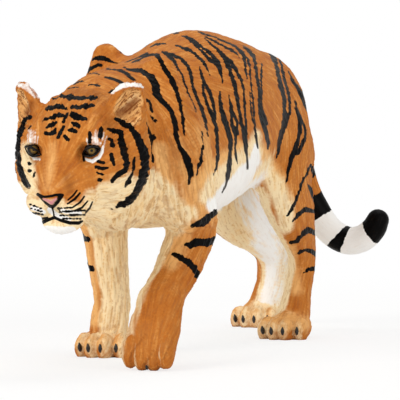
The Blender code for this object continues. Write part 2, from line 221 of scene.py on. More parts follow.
body = {
    "torso": (  # place along the spine, back, belly, half width
        (-72.0, 44.5, 34.0, 5.5), (-66.0, 48.9, 32.0, 8.5), (-58.0, 52.6, 28.6, 9.8),
        (-48.0, 54.6, 26.0, 11.2), (-36.0, 56.4, 24.7, 12.6), (-24.0, 59.2, 24.6, 13.4),
        (-10.0, 62.2, 25.6, 13.7), (6.0, 61.6, 28.6, 12.8), (20.0, 60.0, 32.6, 11.1),
        (32.0, 58.0, 37.4, 8.4), (39.0, 55.2, 42.0, 5.8)),
    "blades": (((7.0, -43.5, 54.0), (10.2, -46.0, 38.0)), ((-8.0, -33.2, 56.6), (-10.2, -36.0, 38.0))),
    "bladeSize": (2.6, 4.6),
    "shoulder": ((9.0, 3.0, 38.0), (5.0, 9.5, 10.0)),  # out, behind the blade's foot and up; radii
    "hips": ((0, 29.3, 46.6), (9.4, 12.0, 10.9)),
    "chest": ((0, -50, 33), (8.6, 9, 8)),
    "leftArm": (  # joints: x, y, z, half width, half depth
        (10.2, -43.5, 38.0, 4.6, 8.0), (10.5, -39.5, 31.0, 4.8, 7.2), (10.2, -36.0, 25.5, 4.5, 5.5),
        (10.1, -39.5, 20.5, 4.3, 4.4), (9.8, -45.0, 16.0, 4.1, 3.8), (9.1, -50.2, 12.0, 3.8, 3.5)),
    "rightArm": (
        (-10.2, -36.5, 38.0, 4.6, 8.0), (-10.6, -31.0, 31.0, 4.7, 7.0), (-10.5, -27.8, 25.0, 4.3, 5.2),
        (-10.1, -27.0, 18.0, 3.9, 4.2), (-9.6, -26.2, 11.0, 3.4, 3.6), (-9.9, -26.8, 6.0, 3.7, 4.1)),
    "leftLeg": (
        (6.0, 26.2, 47.2, 4.4, 9.0), (8.2, 24.5, 40.0, 5.2, 11.6), (8.9, 21.5, 33.5, 4.8, 10.2),
        (9.3, 26.0, 26.5, 4.1, 7.4), (9.2, 31.5, 20.0, 3.1, 4.8), (8.9, 33.8, 15.0, 2.7, 3.8),
        (8.5, 32.6, 10.0, 2.7, 3.3), (8.2, 31.0, 5.5, 3.2, 4.0)),
    "rightLeg": (
        (-6.0, 27.2, 47.2, 4.4, 9.0), (-8.0, 30.0, 40.0, 5.2, 10.8), (-8.4, 32.5, 32.0, 4.8, 9.8),
        (-8.2, 41.5, 26.0, 4.5, 7.6), (-7.6, 53.0, 21.5, 3.8, 5.6), (-7.2, 61.2, 17.0, 3.5, 4.9),
        (-7.4, 62.8, 10.5, 3.2, 4.2), (-8.6, 62.5, 5.5, 3.3, 4.2)),
    "tail": (
        (0.0, 37.0, 54.0, 4.4), (0.1, 43.5, 51.6, 4.0), (0.2, 49.5, 46.0, 3.5), (0.8, 53.8, 38.5, 3.2),
        (1.9, 56.6, 31.0, 3.0), (4.0, 58.0, 25.6, 3.0), (7.0, 58.5, 21.2, 3.0), (10.8, 58.5, 19.0, 3.0),
        (14.4, 58.2, 19.4, 2.9), (17.0, 57.8, 21.4, 2.7), (18.2, 57.4, 23.4, 2.4)),
    "sink": 0.9,  # how far the soles run below the floor before they are cut flat
    "bladeBlend": 3.5, "massBlend": 4.0, "legBlend": 3.0, "tailBlend": 2.0,
}

paws = {
    # place and half width: right fore, left hind, right hind
    "standing": ((-9.9, -26.6, 4.4), (7.8, 28.6, 4.6), (-9.5, 61.0, 4.6)),
    "halfLength": 5.4, "height": 5.6,
    "toe": (1.5, 2.9, 4.5), "toeSpacing": 2.45,
    "toePlaces": ((-1.5, -3.4), (-0.5, -5.2), (0.5, -5.2), (1.5, -3.4)),
    "toeTurn": 8.0,  # degrees outwards, for each spacing from the paw's middle
    "swell": 0.6, "drop": 0.2,  # the middle lump is this much thicker and lower than the paw's height gives
    "blend": 1.4, "steppingBlend": 1.6, "toeBlend": 0.5,
    "stepping": ((9.5, -50.6, 11.4, 4.1, 3.5), (9.5, -53.6, 7.4, 4.8, 3.3), (9.5, -55.0, 4.2, 4.7, 2.9)),
    "steppingToe": ((9.3, -56.2, 2.7), (1.5, 2.1, 3.0)), "steppingSpacing": 2.3,
    "steppingLift": 0.5,  # the outer toes' height above the inner ones
}


def standingPaw(x, y, pawHalfWidth):
    halfWidth, halfLength, height = paws["toe"]
    middle = (paws["height"] - body["sink"]) / 2 - paws["drop"]
    radii = (pawHalfWidth, paws["halfLength"], paws["height"] / 2 + paws["swell"])
    lumps = [Ball((x, y, middle), radii, blend=paws["blend"])]
    for share, out in paws["toePlaces"]:
        centre = (x + share * paws["toeSpacing"], y + out, (height - body["sink"]) / 2)
        radii = (halfWidth, halfLength, (height + body["sink"]) / 2)
        lumps.append(Ball(centre, radii, turn=(0, 0, paws["toeTurn"] * share), blend=paws["toeBlend"]))
    return lumps


def steppingPaw():
    lumps = [Limb(paws["stepping"], blend=paws["steppingBlend"])]
    (x, y, z), radii = paws["steppingToe"]
    for share, _ in paws["toePlaces"]:
        centre = (x + share * paws["steppingSpacing"], y, z + paws["steppingLift"] * (abs(share) > 1))
        lumps.append(Ball(centre, radii, blend=paws["toeBlend"]))
    return lumps


def trunkLumps():
    rows = [(0, y, (back + belly) / 2, half, (back - belly) / 2) for y, back, belly, half in body["torso"]]
    lumps = [Trunk(rows, blend=1.0, steps=8)]
    (out, behind, height), radii = body["shoulder"]
    for tip, foot in body["blades"]:
        stations = [(*tip, body["bladeSize"][0]), (*foot, body["bladeSize"][1])]
        lumps.append(Limb(stations, blend=body["bladeBlend"]))
        spot = (math.copysign(out, tip[0]), foot[1] + behind, height)
        lumps.append(Ball(spot, radii, blend=body["massBlend"]))
    return lumps + [Ball(*body[name], blend=body["massBlend"]) for name in ("hips", "chest")]


legNames = ("leftArm", "rightArm", "leftLeg", "rightLeg")
tailSteps = 5  # rows to each joint of the tail


def clayGroups():
    rightFore, leftHind, rightHind = paws["standing"]
    return {
        "trunk": trunkLumps(),
        **{name: [Limb(body[name], blend=body["legBlend"])] for name in legNames},
        "tail": [Limb(body["tail"], blend=body["tailBlend"], steps=tailSteps)],
        "leftPaw": steppingPaw(), "rightPaw": standingPaw(*rightFore),
        "leftHindPaw": standingPaw(*leftHind), "rightHindPaw": standingPaw(*rightHind),
        "head": headLumps(),
    }


# The head, in its own frame: the nose points along -Y before the head is pitched down

head = {
    "centre": (0.0, -66.2, 39.1),
    "pitch": 24.0,
    "skull": ((0, 1.2, 1.6), (9.0, 9.6, 8.8)),
    "forehead": ((0, -2.8, 5.2), (6.2, 5.0, 4.2)),
    "jaw": ((0, -3.5, -5.4), (6.8, 7.5, 5.6)),
    "bridge": ((0, -5, 3.0, 4.3, 3.2), (0, -9, 0.9, 3.9, 3.0), (0, -12.8, -1.5, 3.2, 2.4)),
    "nose": ((0, -13.9, -1.5), (2.5, 1.4, 1.6)),
    "chin": ((0, -11.0, -7.5), (3.9, 3.6, 2.7)),
    "pad": ((3.0, -11.2, -4.0), (3.1, 3.6, 2.7), (0, 0, -16)),
    "cheek": ((6.1, -3.4, -1.6), (4.6, 5.4, 5.6), (0, 0, -18)),
    "underEye": ((3.9, -7.6, -0.9), (2.6, 3.4, 2.8)),
    "brow": ((5.0, -5.4, 5.4), (2.8, 1.6, 1.1), (0, 20, -24)),
    "ruff": ((9.0, 3.2, 5.6, 2.0, 2.6), (10.4, 2.4, 1.0, 2.1, 3.2), (10.0, 1.0, -4.0, 2.2, 3.4),
             (7.2, -0.8, -8.0, 2.2, 3.0), (4.0, -3.0, -9.6, 2.2, 2.6)),
    "socket": ((5.3, -7.8, 3.1), (2.1, 1.3, 1.3), (0, 12, -26)),
    "eyeball": ((5.2, -5.5, 3.3), (1.6, 1.4, 1.4)),
    # each ear is a leaf with a hollow front, in its own frame with the root at 0
    "earRoot": (9.2, 2.3, 4.5),
    "earLeaf": ((-0.7, 0.0, -1.0, 3.7, 2.2), (-0.4, 0.4, 2.0, 4.0, 1.9), (0.3, 0.6, 4.4, 3.5, 1.4),
                (1.5, 0.6, 6.1, 1.9, 0.9)),
    "earHollow": ((-0.4, -1.8, 1.9, 2.2, 1.5), (-0.1, -1.5, 3.2, 2.7, 1.7), (0.6, -0.9, 4.8, 2.1, 1.2)),
    "earTurn": (42.0, 9.0, -5.0),  # degrees outwards, leaning out, and tilting back
}
headTurn = turnedBy(head["pitch"], 0, 0)
headCentre = np.array(head["centre"])


def bothEars(stations, **options):
    outward, lean, tilt = head["earTurn"]
    lumps = []
    for side, limb in zip((1, -1), bothLimbs(stations, **options)):
        turn = turnedBy(tilt, side * lean, 0) @ turnedBy(0, 0, side * outward)
        lumps.append(limb.placed(turn, np.array(head["earRoot"]) * (side, 1, 1)))
    return lumps


def headLumps():
    lumps = [
        Ball(*head["skull"], blend=2.5), Ball(*head["forehead"], blend=2.0), Ball(*head["jaw"], blend=2.0),
        Limb(head["bridge"], blend=1.6), Ball(*head["nose"], blend=0.6), Ball(*head["chin"], blend=1.0),
    ]
    lumps += bothSides(*head["pad"], blend=0.8)
    lumps += bothSides(*head["cheek"], blend=1.8)
    lumps += bothSides(*head["underEye"], blend=1.8)
    lumps += bothSides(*head["brow"], blend=1.4)
    lumps += bothLimbs(head["ruff"], blend=1.8)
    lumps += bothSides(*head["socket"], blend=1.2, cut=True)
    lumps += bothEars(head["earLeaf"], blend=1.2)
    lumps += bothEars(head["earHollow"], blend=0.5, cut=True)
    lumps += bothSides(*head["eyeball"], blend=0.3)
    return [lump.placed(headTurn, headCentre) for lump in lumps]


# The skin: one mesh woven round the lumps, draped on the clay, and finer on the front of him

skin = {
    "grain": 1.53,  # millimetres between its points, before it is refined
    "fineFrom": -33.0,  # the skin is finer in front of this, where the fur is carved deep
    "nearEdge": 1.5,  # and this close to the edge of a painted stroke, in the photo's pixels
    "nearFaceEdge": 1.2,
}


def joinRings(rings, points, faces):  # a closed tube through rings of points, added to both lists
    sides = len(rings[0])
    first = len(points)
    points += [point for ring in rings for point in ring]
    for k in range(len(rings) - 1):
        near = first + k * sides
        for n in range(sides):
            m = (n + 1) % sides
            faces.append((near + n, near + m, near + sides + m, near + sides + n))
    faces.append(range(first + sides - 1, first - 1, -1))
    faces.append(range(len(points) - sides, len(points)))


def wovenSkin(lumps):
    points, faces = [], []
    for lump in lumps:
        for rings in [] if lump.cut else lump.rings():
            joinRings(rings, points, faces)
    data = bpy.data.meshes.new("tigerSkin")
    data.from_pydata(points, [], faces)
    tiger = bpy.data.objects.new("tigerSkin", data)
    bpy.context.scene.collection.objects.link(tiger)
    weave = tiger.modifiers.new("weave", "REMESH")
    weave.mode = "VOXEL"
    weave.voxel_size = skin["grain"]
    graph = bpy.context.evaluated_depsgraph_get()
    tiger.data = bpy.data.meshes.new_from_object(tiger.evaluated_get(graph))
    tiger.modifiers.clear()
    return tiger


def placesOf(mesh):
    return np.array([v.co for v in mesh.verts])


def normalsOf(mesh):
    mesh.normal_update()
    return np.array([v.normal for v in mesh.verts])


def moveTo(mesh, points):
    for vertex, point in zip(mesh.verts, points):
        vertex.co = point


def drape(mesh, lumps, rounds, ease=0.5):
    step = 0.02
    farthest = 1.2  # millimetres that a point moves in one round, at most
    for _ in range(rounds):
        bmesh.ops.smooth_vert(mesh, verts=mesh.verts, factor=ease,
                              use_axis_x=True, use_axis_y=True, use_axis_z=True)
        normals = normalsOf(mesh)
        points = placesOf(mesh)
        field = clay(points, lumps)
        slope = (clay(points + step * normals, lumps) - field) / step
        outwards = np.clip(-field / np.maximum(slope, 0.5), -farthest, farthest)
        moveTo(mesh, points + outwards[:, None] * normals)


def refine(mesh, fine=None):
    edges = mesh.edges[:]
    if fine is not None:
        mesh.verts.index_update()
        faces = [face for face in mesh.faces if any(fine[vertex.index] for vertex in face.verts)]
        marked = {edge for face in faces for edge in face.edges}
        edges = [edge for edge in edges if edge in marked]
    bmesh.ops.subdivide_edges(mesh, edges=edges, cuts=1, use_grid_fill=True)


def cutSoles(mesh):
    geometry = mesh.verts[:] + mesh.edges[:] + mesh.faces[:]
    cut = bmesh.ops.bisect_plane(mesh, geom=geometry, dist=1e-3, clear_outer=True,
                                 plane_co=(0, 0, 0), plane_no=(0, 0, -1))
    rim = [edge for edge in cut["geom_cut"] if isinstance(edge, bmesh.types.BMEdge)]
    bmesh.ops.holes_fill(mesh, edges=rim, sides=0)
    bmesh.ops.triangulate(mesh, faces=mesh.faces[:])


def easeStep(value, low, high):
    t = np.clip((value - low) / (high - low), 0, 1)
    return t * t * (3 - 2 * t)


def unit(vectors):
    return vectors / np.maximum(np.linalg.norm(vectors, axis=1), 1e-9)[:, None]


# Stripes and colours. Each stroke is a chain of (across, down, width) in the photo's pixels, where the
# photo shows his left side. His right side takes the mirror image.

flankStripes = {
    "shoulder": [(124, 67, 1.5), (130, 69.5, 2), (135, 70, 3.5), (142, 70.5, 5), (147, 75, 5.5),
                 (152, 78, 7), (156, 86, 8), (157, 93, 8), (161, 100.5, 6), (168, 106, 5), (172, 112, 5),
                 (174, 120, 6), (175.5, 128, 6), (177, 138, 5), (181, 148, 4.5), (185.5, 156, 6),
                 (189, 165.5, 6), (190.5, 174.5, 5), (189.5, 182, 3), (189, 186, 1)],
    "blade": [(132, 62.5, 1.5), (140, 59.5, 2), (146.5, 56, 2), (152, 54, 2.5), (158, 56, 4.5),
              (162, 63, 4), (166.5, 71.5, 5), (171, 78, 4.5), (174.5, 86, 5), (178, 95, 4.5),
              (181, 106, 3.5), (183, 118, 3.5), (183.6, 126, 2.5), (184.5, 136, 1)],
    "bladeTwig": [(140, 52.8, 2), (147, 53.8, 2)],
    "thirdFine": [(162, 52, 1.5), (169, 55, 4), (174.5, 61.5, 3.5), (178, 68.5, 2), (182, 74, 1.5),
                  (184.5, 83, 2), (188, 92, 2), (192, 101, 1.5), (197, 112, 0.7)],
    "fourth": [(165.5, 51.5, 1), (173.5, 55, 2.5), (181, 58.5, 3), (186.5, 64, 3.5), (190.5, 72, 3.5),
               (191.5, 80.5, 3), (193.5, 88.5, 3), (197, 98, 3.5), (202, 108.5, 3.5), (205.5, 121.5, 3),
               (207, 130, 2.5), (208, 136.5, 1)],
    "fifth": [(175.5, 45, 1), (181, 47, 2.5), (188, 49.5, 3), (195.5, 54, 3), (201, 59.5, 3),
              (205.5, 65, 2.5), (208, 70.5, 1.8), (210, 75, 0.8)],
    "sixth": [(182, 36, 1), (187, 37, 2), (192, 40.5, 5), (197, 43, 3), (203, 48, 3), (209, 52, 3),
              (214.5, 58, 4), (218, 63, 5), (220, 70.5, 4), (222, 77, 2), (222.7, 83, 0.8)],
    "sixthBranch": [(193.5, 43, 3), (199, 48.5, 2.5), (205.5, 55, 3), (211, 60.5, 3.5), (216.5, 64, 4)],
    "seventh": [(204.5, 38, 1), (210, 43, 2), (215.5, 48, 2.5), (221, 53, 3.5), (226.5, 59.5, 6),
                (229, 68, 4.5), (232, 76, 4), (234.5, 84, 4), (236.5, 94, 4), (238, 104, 3.5),
                (240, 116, 3), (242.7, 128, 3), (245.5, 140, 4.5), (246, 150, 3.5), (247.3, 159, 2),
                (247.7, 169, 1.2)],
    "seventhTwin": [(226.5, 59.5, 5), (231, 61.5, 4), (236.5, 70.5, 3.5), (241, 79.5, 3),
                    (243.6, 88.6, 2.5), (244.5, 99.5, 2.5), (245, 111.5, 2.2), (246.4, 130, 2),
                    (245.5, 140, 3)],
    "ribs": [(199.5, 67, 1), (201.5, 74, 2.5), (203, 83, 2), (203.6, 92, 2.5), (206.4, 102, 3),
             (210, 110.5, 4), (213.6, 118, 5), (216, 126.5, 4), (217, 136.5, 3.5), (217.7, 147, 3.5),
             (218, 156.5, 3.5), (217, 165.5, 2.5), (213.6, 175.5, 1)],
    "ribsTwin": [(201.5, 74, 2), (205.5, 84, 2.5), (210, 92, 3.5), (212.7, 101.5, 3.5), (214, 109.5, 3),
                 (215, 118, 4)],
    "flank": [(220, 91.5, 1), (220, 100.5, 3.5), (221.5, 109.5, 4), (224.5, 120, 5.5), (228, 130, 5.5),
              (230.5, 140, 5), (230.5, 151, 3.5), (229.5, 163.6, 4.5), (228, 175.5, 4),
              (225.5, 185.5, 2.5), (222, 192.7, 1)],
    "flankThin": [(229, 95, 1), (231, 105, 3), (231.8, 118, 2.5), (232.7, 127, 3.5), (235.5, 134.5, 4),
                  (236, 142, 2.5), (235.5, 151, 2), (236.4, 158, 2), (238, 164.5, 1)],
    "flankTwig": [(232, 108, 2), (234.5, 115, 2.5), (237.3, 123.6, 3), (236.8, 133.6, 3)],
    "armpit": [(202.7, 131, 0.8), (203.2, 142, 1.8), (202.7, 152, 2), (201, 162, 3), (198, 168, 2),
               (197.3, 175.5, 0.8)],
    "neckDash": [(146.4, 100.5, 3.5), (150, 100.5, 2), (151.4, 108.6, 2.5), (152.7, 112.3, 1.5)],
    "neckDot": [(151.8, 116, 2), (155.5, 120.5, 2), (156.8, 123, 1)],
    "backLine": [(205.5, 36.8, 1), (212, 39.5, 2), (221, 44.5, 2), (230, 49, 2), (237.3, 54, 1.5),
                 (239.3, 57, 0.8)],
    "loin": [(197.3, 31, 1), (204.5, 34, 1.5), (213.6, 36.4, 1.5), (224.5, 41.4, 1.5), (231.8, 44.5, 2),
             (237.3, 48, 2.5), (242.7, 53, 4), (244.5, 58.6, 3.5), (245, 66, 2.5), (246.4, 73, 1.5),
             (247.7, 79.5, 0.7)],
    "loinTwin": [(244.5, 56, 2), (247.3, 58.6, 2.5), (249, 64, 2.5), (249.5, 66.4, 1.8),
                 (250.5, 77.3, 1.5), (251.8, 89, 1.5), (253.2, 101, 2), (254, 112, 2), (254.3, 121, 1.5),
                 (255.5, 130, 2), (256.4, 136.4, 2), (257.3, 143.6, 2), (257.7, 149, 1)],
    "loinThread": [(250, 92, 1.5), (250.5, 102.7, 1.5), (251.8, 116.4, 2), (254.5, 124.5, 2)],
    "waist": [(243, 46.8, 1), (248.6, 50, 3), (253.2, 55.5, 4), (255.5, 63.6, 2.5), (256.4, 72.7, 2.5),
              (258.2, 82.7, 3.5), (259.5, 92.7, 2.5), (259.5, 102.7, 2.5), (260.5, 111.8, 4),
              (262.3, 121, 5), (265.5, 130, 5.5), (266.8, 135.5, 4), (268.2, 142.7, 3),
              (268.2, 149, 1.5)],
    "waistTwin": [(261.8, 63.6, 1), (261.4, 72.7, 2), (261.4, 81.8, 2), (261.8, 91.8, 1.5),
                  (261.8, 101, 1.5), (261.8, 108, 2), (265, 116.4, 2.5), (266.8, 124.5, 2.5)],
    "haunch": [(266, 50, 1.5), (270.5, 52.3, 3.5), (274, 58, 5), (276.8, 66.4, 3.5), (278.6, 75.5, 4),
               (280.5, 84.5, 4.5), (283, 92, 4), (284.5, 101, 4), (284.5, 110, 4), (286, 117, 6),
               (284, 126.4, 6), (281.4, 135.5, 5), (279.5, 143.5, 4), (278.2, 152, 2.5),
               (276.6, 158, 0.8)],
    "haunchTwin": [(279.5, 59, 1), (281.8, 66.4, 2), (283.6, 75.5, 2.5), (286, 84.5, 2.5),
                   (288.5, 92.7, 3), (290, 102, 2.5), (290, 112, 2.5), (287.5, 118, 4)],
    "rump": [(295.5, 101, 1.5), (296, 107, 2.5), (298.6, 114.5, 4), (300.5, 122.7, 4.5), (300, 131, 4),
             (298, 140, 4), (295, 151, 5), (291.8, 158, 4.5), (289.5, 167, 3), (287.7, 174.5, 2.5),
             (286.4, 182.7, 1)],
    "rumpTwin": [(299.5, 114.5, 1.5), (303, 122, 2), (305.5, 130, 2.5), (305, 139, 3), (304, 141, 4),
                 (301.4, 147, 3), (297.7, 153.6, 4)],
    "rumpEdge": [(288.6, 71, 0.8), (292.3, 80, 2.5), (297.7, 87.3, 3.5), (301.4, 95.5, 3),
                 (305, 104.5, 3), (308.6, 111.8, 3), (311, 119, 2), (312.3, 125.5, 1)],
    "rumpThread": [(300.5, 90, 2), (305, 96.4, 2), (308.6, 107.3, 2)],
    "thigh": [(311.4, 164.5, 2), (306.8, 173.6, 2.5), (302.3, 181.8, 2.5), (299.5, 191, 2),
              (296, 201, 3), (291.8, 209, 3.5), (288.6, 214.5, 3), (287, 215.7, 1.5)],
    "thighTwin": [(311.4, 165.5, 2), (313.6, 174.5, 2.5), (315, 183.6, 2)],
    "thighEdge": [(308.2, 184.5, 1), (311.4, 190, 4), (314, 197.3, 3), (316, 206.4, 3)],
}
neckStripes = {  # on the nape and his right shoulder blade
    "bladeTop": [(111.7, 43.4, 2), (115, 44.3, 3.5), (119, 48, 3.5), (122.5, 52, 2.5), (125.8, 54.3, 1)],
    "napeHigh": [(92.5, 60, 2), (95.8, 58, 3.5), (100.8, 57.6, 4), (105.8, 58.8, 4), (110, 61, 3),
                 (114, 62.4, 1.5), (118.8, 63, 1)],
    "napeMiddle": [(87, 72.2, 2.5), (89.2, 69.3, 4), (93.3, 67.2, 3), (97.5, 65, 3), (101.7, 65.3, 1.5)],
    "napeThread": [(88.3, 73.4, 1), (95, 73, 1.5), (99.6, 74.4, 1.5)],
    "napeLeft": [(73.3, 83.4, 2), (77.5, 81.3, 2), (83.8, 81, 1.5)],
    "napeDash": [(87.5, 85.3, 1), (93.3, 84.8, 2), (97.5, 85, 3), (100.4, 86.2, 1.5)],
    "napeLow": [(65, 88.4, 1.5), (70.8, 88, 1.5), (78.3, 88, 2.5), (85, 88.2, 1.5), (91.7, 89, 2),
                (100.8, 90.7, 1.2)],
    "napeLong": [(107, 68.8, 1), (114, 69.5, 1.5), (120, 70.5, 2.5), (126.7, 73.4, 3.5), (131.7, 78, 3),
                 (135, 80.5, 2)],
    "napeShort": [(104.6, 76.8, 1.5), (110, 77.8, 2.5), (115, 78.8, 2.5), (120, 81.3, 3),
                  (124.2, 83.8, 3)],
    "besideEar": [(108.3, 92.6, 1.5), (114, 89.7, 2), (121.7, 85.5, 1)],
    "ridge": [(150, 46.8, 1), (157.3, 44, 2), (165.5, 43.6, 1.5)],
    "ridgeDash": [(172.7, 33.6, 1), (178.2, 32.3, 1.5)],
}
behindRuff = {
    "ruffShadow": [(141, 110.5, 1), (143.5, 119.5, 4), (144.5, 122.7, 5), (148, 131, 6), (152, 138, 5.5),
                   (152, 143.6, 4), (152, 151, 1.5), (152.7, 159, 3), (153.2, 163, 1)],
}
forelegBars = {
    "elbow": [(190.5, 225.5, 1), (194.5, 226, 3), (199, 224, 7), (203.6, 222.3, 8), (209, 217.3, 6.5),
              (212.7, 214.5, 6), (219, 209, 4)],
    "forearm": [(185.5, 244.5, 3), (191, 245.5, 7), (196.4, 241.8, 7.5), (201.8, 242.3, 7),
                (207.3, 242.7, 8), (212.7, 241.4, 7), (219, 235, 4)],
    "wrist": [(172.3, 254, 2), (176.4, 255, 5), (181.8, 258.2, 5.5), (188.2, 261.8, 6),
              (193.6, 266.8, 6), (196.4, 273.2, 6), (197.7, 278.6, 3)],
}
toeCreaseShade = {  # painted shade in the creases between the toes, on the lifted paw
    "first": [(145.5, 334, 0.6), (139, 343, 1.6), (131.8, 353, 1.2), (130, 362, 0.8)],
    "second": [(153.6, 350, 0.6), (149, 358, 1.6), (144.5, 365, 1)],
    "third": [(170, 347, 0.6), (165.5, 355, 1.6), (162.7, 361, 1)],
}
hindBars = {
    "hock": [(293, 221.4, 2), (298.6, 214.3, 3.5), (305.7, 209.3, 5), (316, 212, 3)],
    "hockLow": [(290, 243, 2.5), (297, 241.4, 4), (301.4, 235.7, 4), (308.6, 230, 6), (318, 234.5, 4)],
    "shin": [(298.6, 253, 3), (305.7, 250, 3), (313, 252, 4.5), (320, 257.5, 3.5)],
    "shinLow": [(303.6, 273, 1.5), (308.6, 269.3, 3.5), (314.3, 268.6, 5), (321, 268.6, 4)],
}
rightBars = {  # seen from his right, in millimetres: place along him, height, width
    "foreElbow": [(-34.5, 27.5, 1.0), (-30, 27.8, 2.8), (-26, 26.4, 3.0), (-22, 26.2, 1.2)],
    "foreArm": [(-31.5, 22.3, 1.0), (-27.5, 23.0, 2.6), (-24, 22.0, 2.6), (-22, 21.4, 1.6)],
    "foreWrist": [(-31.0, 16.5, 0.8), (-28, 17.2, 2.2), (-24.5, 16.4, 2.4), (-22.5, 16.0, 1.6)],
    "hindThigh": [(31, 34, 0.8), (36, 30.5, 2.4), (41, 29.5, 2.0), (47, 31.5, 0.8)],
    "hindKnee": [(38, 26, 0.8), (43, 24.0, 2.6), (48, 24.4, 2.6), (53, 27, 1.0)],
    "hindShin": [(46, 21, 0.8), (50.5, 19.0, 2.4), (55, 19.6, 2.6), (60, 23, 1.2)],
    "hindHock": [(55, 15.5, 0.8), (59, 14.6, 2.4), (63, 15.2, 2.4), (67, 17, 1.6)],
    "hindFoot": [(58.5, 10.6, 0.8), (61.5, 10.0, 2.0), (66.5, 10.8, 1.6)],
}
faceStripes = {
    "crown": [(48, 98.8, 2), (55, 96.3, 3), (60, 95.5, 3), (69, 96.3, 6), (77, 97.6, 3), (85, 97.6, 4),
              (92.5, 99, 4), (98.3, 96.5, 3)],
    "crownLeft": [(46.3, 108, 4), (52.5, 107, 4.5), (60, 106.3, 4), (66.3, 108, 2.5)],
    "crownRight": [(72.5, 107, 4), (80, 107.3, 4.5), (87.5, 106.3, 4), (94.4, 105.6, 2)],
    "thirdLeft": [(43, 120, 1.5), (50, 117.5, 3.5), (56.3, 115.6, 4.5), (62, 115, 4)],
    "thirdMiddle": [(63, 121.3, 3), (65, 117.5, 3.5), (67.3, 113, 2.5)],
    "thirdRight": [(71.3, 114.4, 4), (75, 116.3, 6), (80, 117.5, 5), (85.6, 118.5, 3.5)],
    "fourthLeft": [(47, 127, 3), (51.3, 124.4, 4.5), (55.6, 122.5, 2.5)],
    "fourthRight": [(72, 122.5, 2.5), (75, 123.8, 5), (78.8, 126.3, 3)],
    "fifthLeft": [(45, 133, 3), (50, 133.8, 4), (53.8, 132, 4), (55, 128.8, 2)],
    "fifthMiddle": [(58, 137.5, 2), (60.6, 132, 3), (63.5, 126.5, 2)],
    "fifthRight": [(68.8, 130, 3), (72, 130, 5), (75.6, 131.3, 3)],
    "last": [(65, 136.3, 4), (67.5, 139.4, 4)],
    "browInner": [(90, 132.5, 3), (89.4, 142.5, 3.5)],
    "browOuter": [(101.3, 128.8, 3.5), (100.6, 135.6, 4.5)],
    "farBrowDash": [(31.3, 126.3, 1.5), (28.8, 128.8, 1.5)],
    "cheekInner": [(108.8, 128.8, 3), (115, 131.3, 5), (120.6, 132.5, 5), (121.3, 140, 6),
                   (123, 148.8, 7), (125.6, 155, 6), (127.5, 162.5, 5), (125, 170, 6), (117.5, 175, 5),
                   (112.5, 181.3, 4)],
    "templeDash": [(110, 138.8, 3), (113, 145, 4.5)],
    "cheekDash": [(111.3, 155, 4), (113, 161.3, 4), (114.4, 165, 2)],
    "underEyeDash": [(97.5, 161.3, 2), (103.8, 162.5, 2)],
    "underEyeBar": [(96.3, 167, 3), (102.5, 168.8, 3), (107.5, 168, 2)],
    "cheekTick": [(97, 172.5, 2), (103, 175, 2)],
    "cheekDot": [(99.5, 180, 4), (100.5, 180.2, 4)],
    "cheekThread": [(135, 157.5, 1.5), (133.8, 167.5, 3), (131.3, 177.5, 3), (125.6, 186.3, 3)],
    "ruffArc": [(115.6, 118.8, 3), (122.5, 122.5, 5), (130, 126.4, 5), (135.5, 134.5, 6), (140, 142, 8),
                (144, 151, 9), (145.3, 159, 8), (145, 169, 8.5), (143.6, 178.5, 9), (138.5, 188, 8),
                (133.8, 197, 8), (127.5, 202.5, 7), (117.5, 207, 4)],
    "ruffDot": [(112, 209.4, 1.6), (113, 209.6, 1.6)],
    "farRuffArc": [(29.4, 117, 3), (23.8, 121.3, 4), (21.3, 128.8, 5), (17.5, 137.5, 5),
                   (16.3, 148.8, 6), (17.5, 158.8, 6), (19.4, 168.8, 5), (23.8, 180, 5), (28, 186.3, 5)],
    "farSpot": [(29.5, 163.8, 3.5), (30.5, 163.8, 3)],
    "farSpotLow": [(29.5, 170.6, 3), (30.5, 170.6, 3)],
    "farTick": [(34.4, 172.5, 2), (33.8, 176.3, 2)],
}
eyePaint = {
    "leftLids": [(83, 154, 1.6), (86.6, 149, 2), (92, 146.8, 2.4), (97.8, 147.2, 2.2), (98.8, 150, 2),
                 (96, 153.6, 2), (91.4, 155.6, 2), (86, 155, 1.8), (83, 154, 1.6)],
    "leftAlmond": [(87, 152, 5), (92, 151, 7), (96.5, 150, 5)],
    "leftTear": [(83, 154.6, 2.2), (84.2, 160.5, 1.6)],
    "farLids": [(29.8, 147.6, 1.2), (31, 146.2, 1.6), (35, 146.4, 2), (38.2, 150, 2), (39.8, 153.2, 1.6),
                (35, 153.4, 1.8), (31.6, 151.2, 1.6), (29.8, 147.6, 1.2)],
    "farAlmond": [(32, 148.8, 3), (35, 150, 5), (38, 152, 3)],
    "farTear": [(40.4, 154.2, 2)],
}
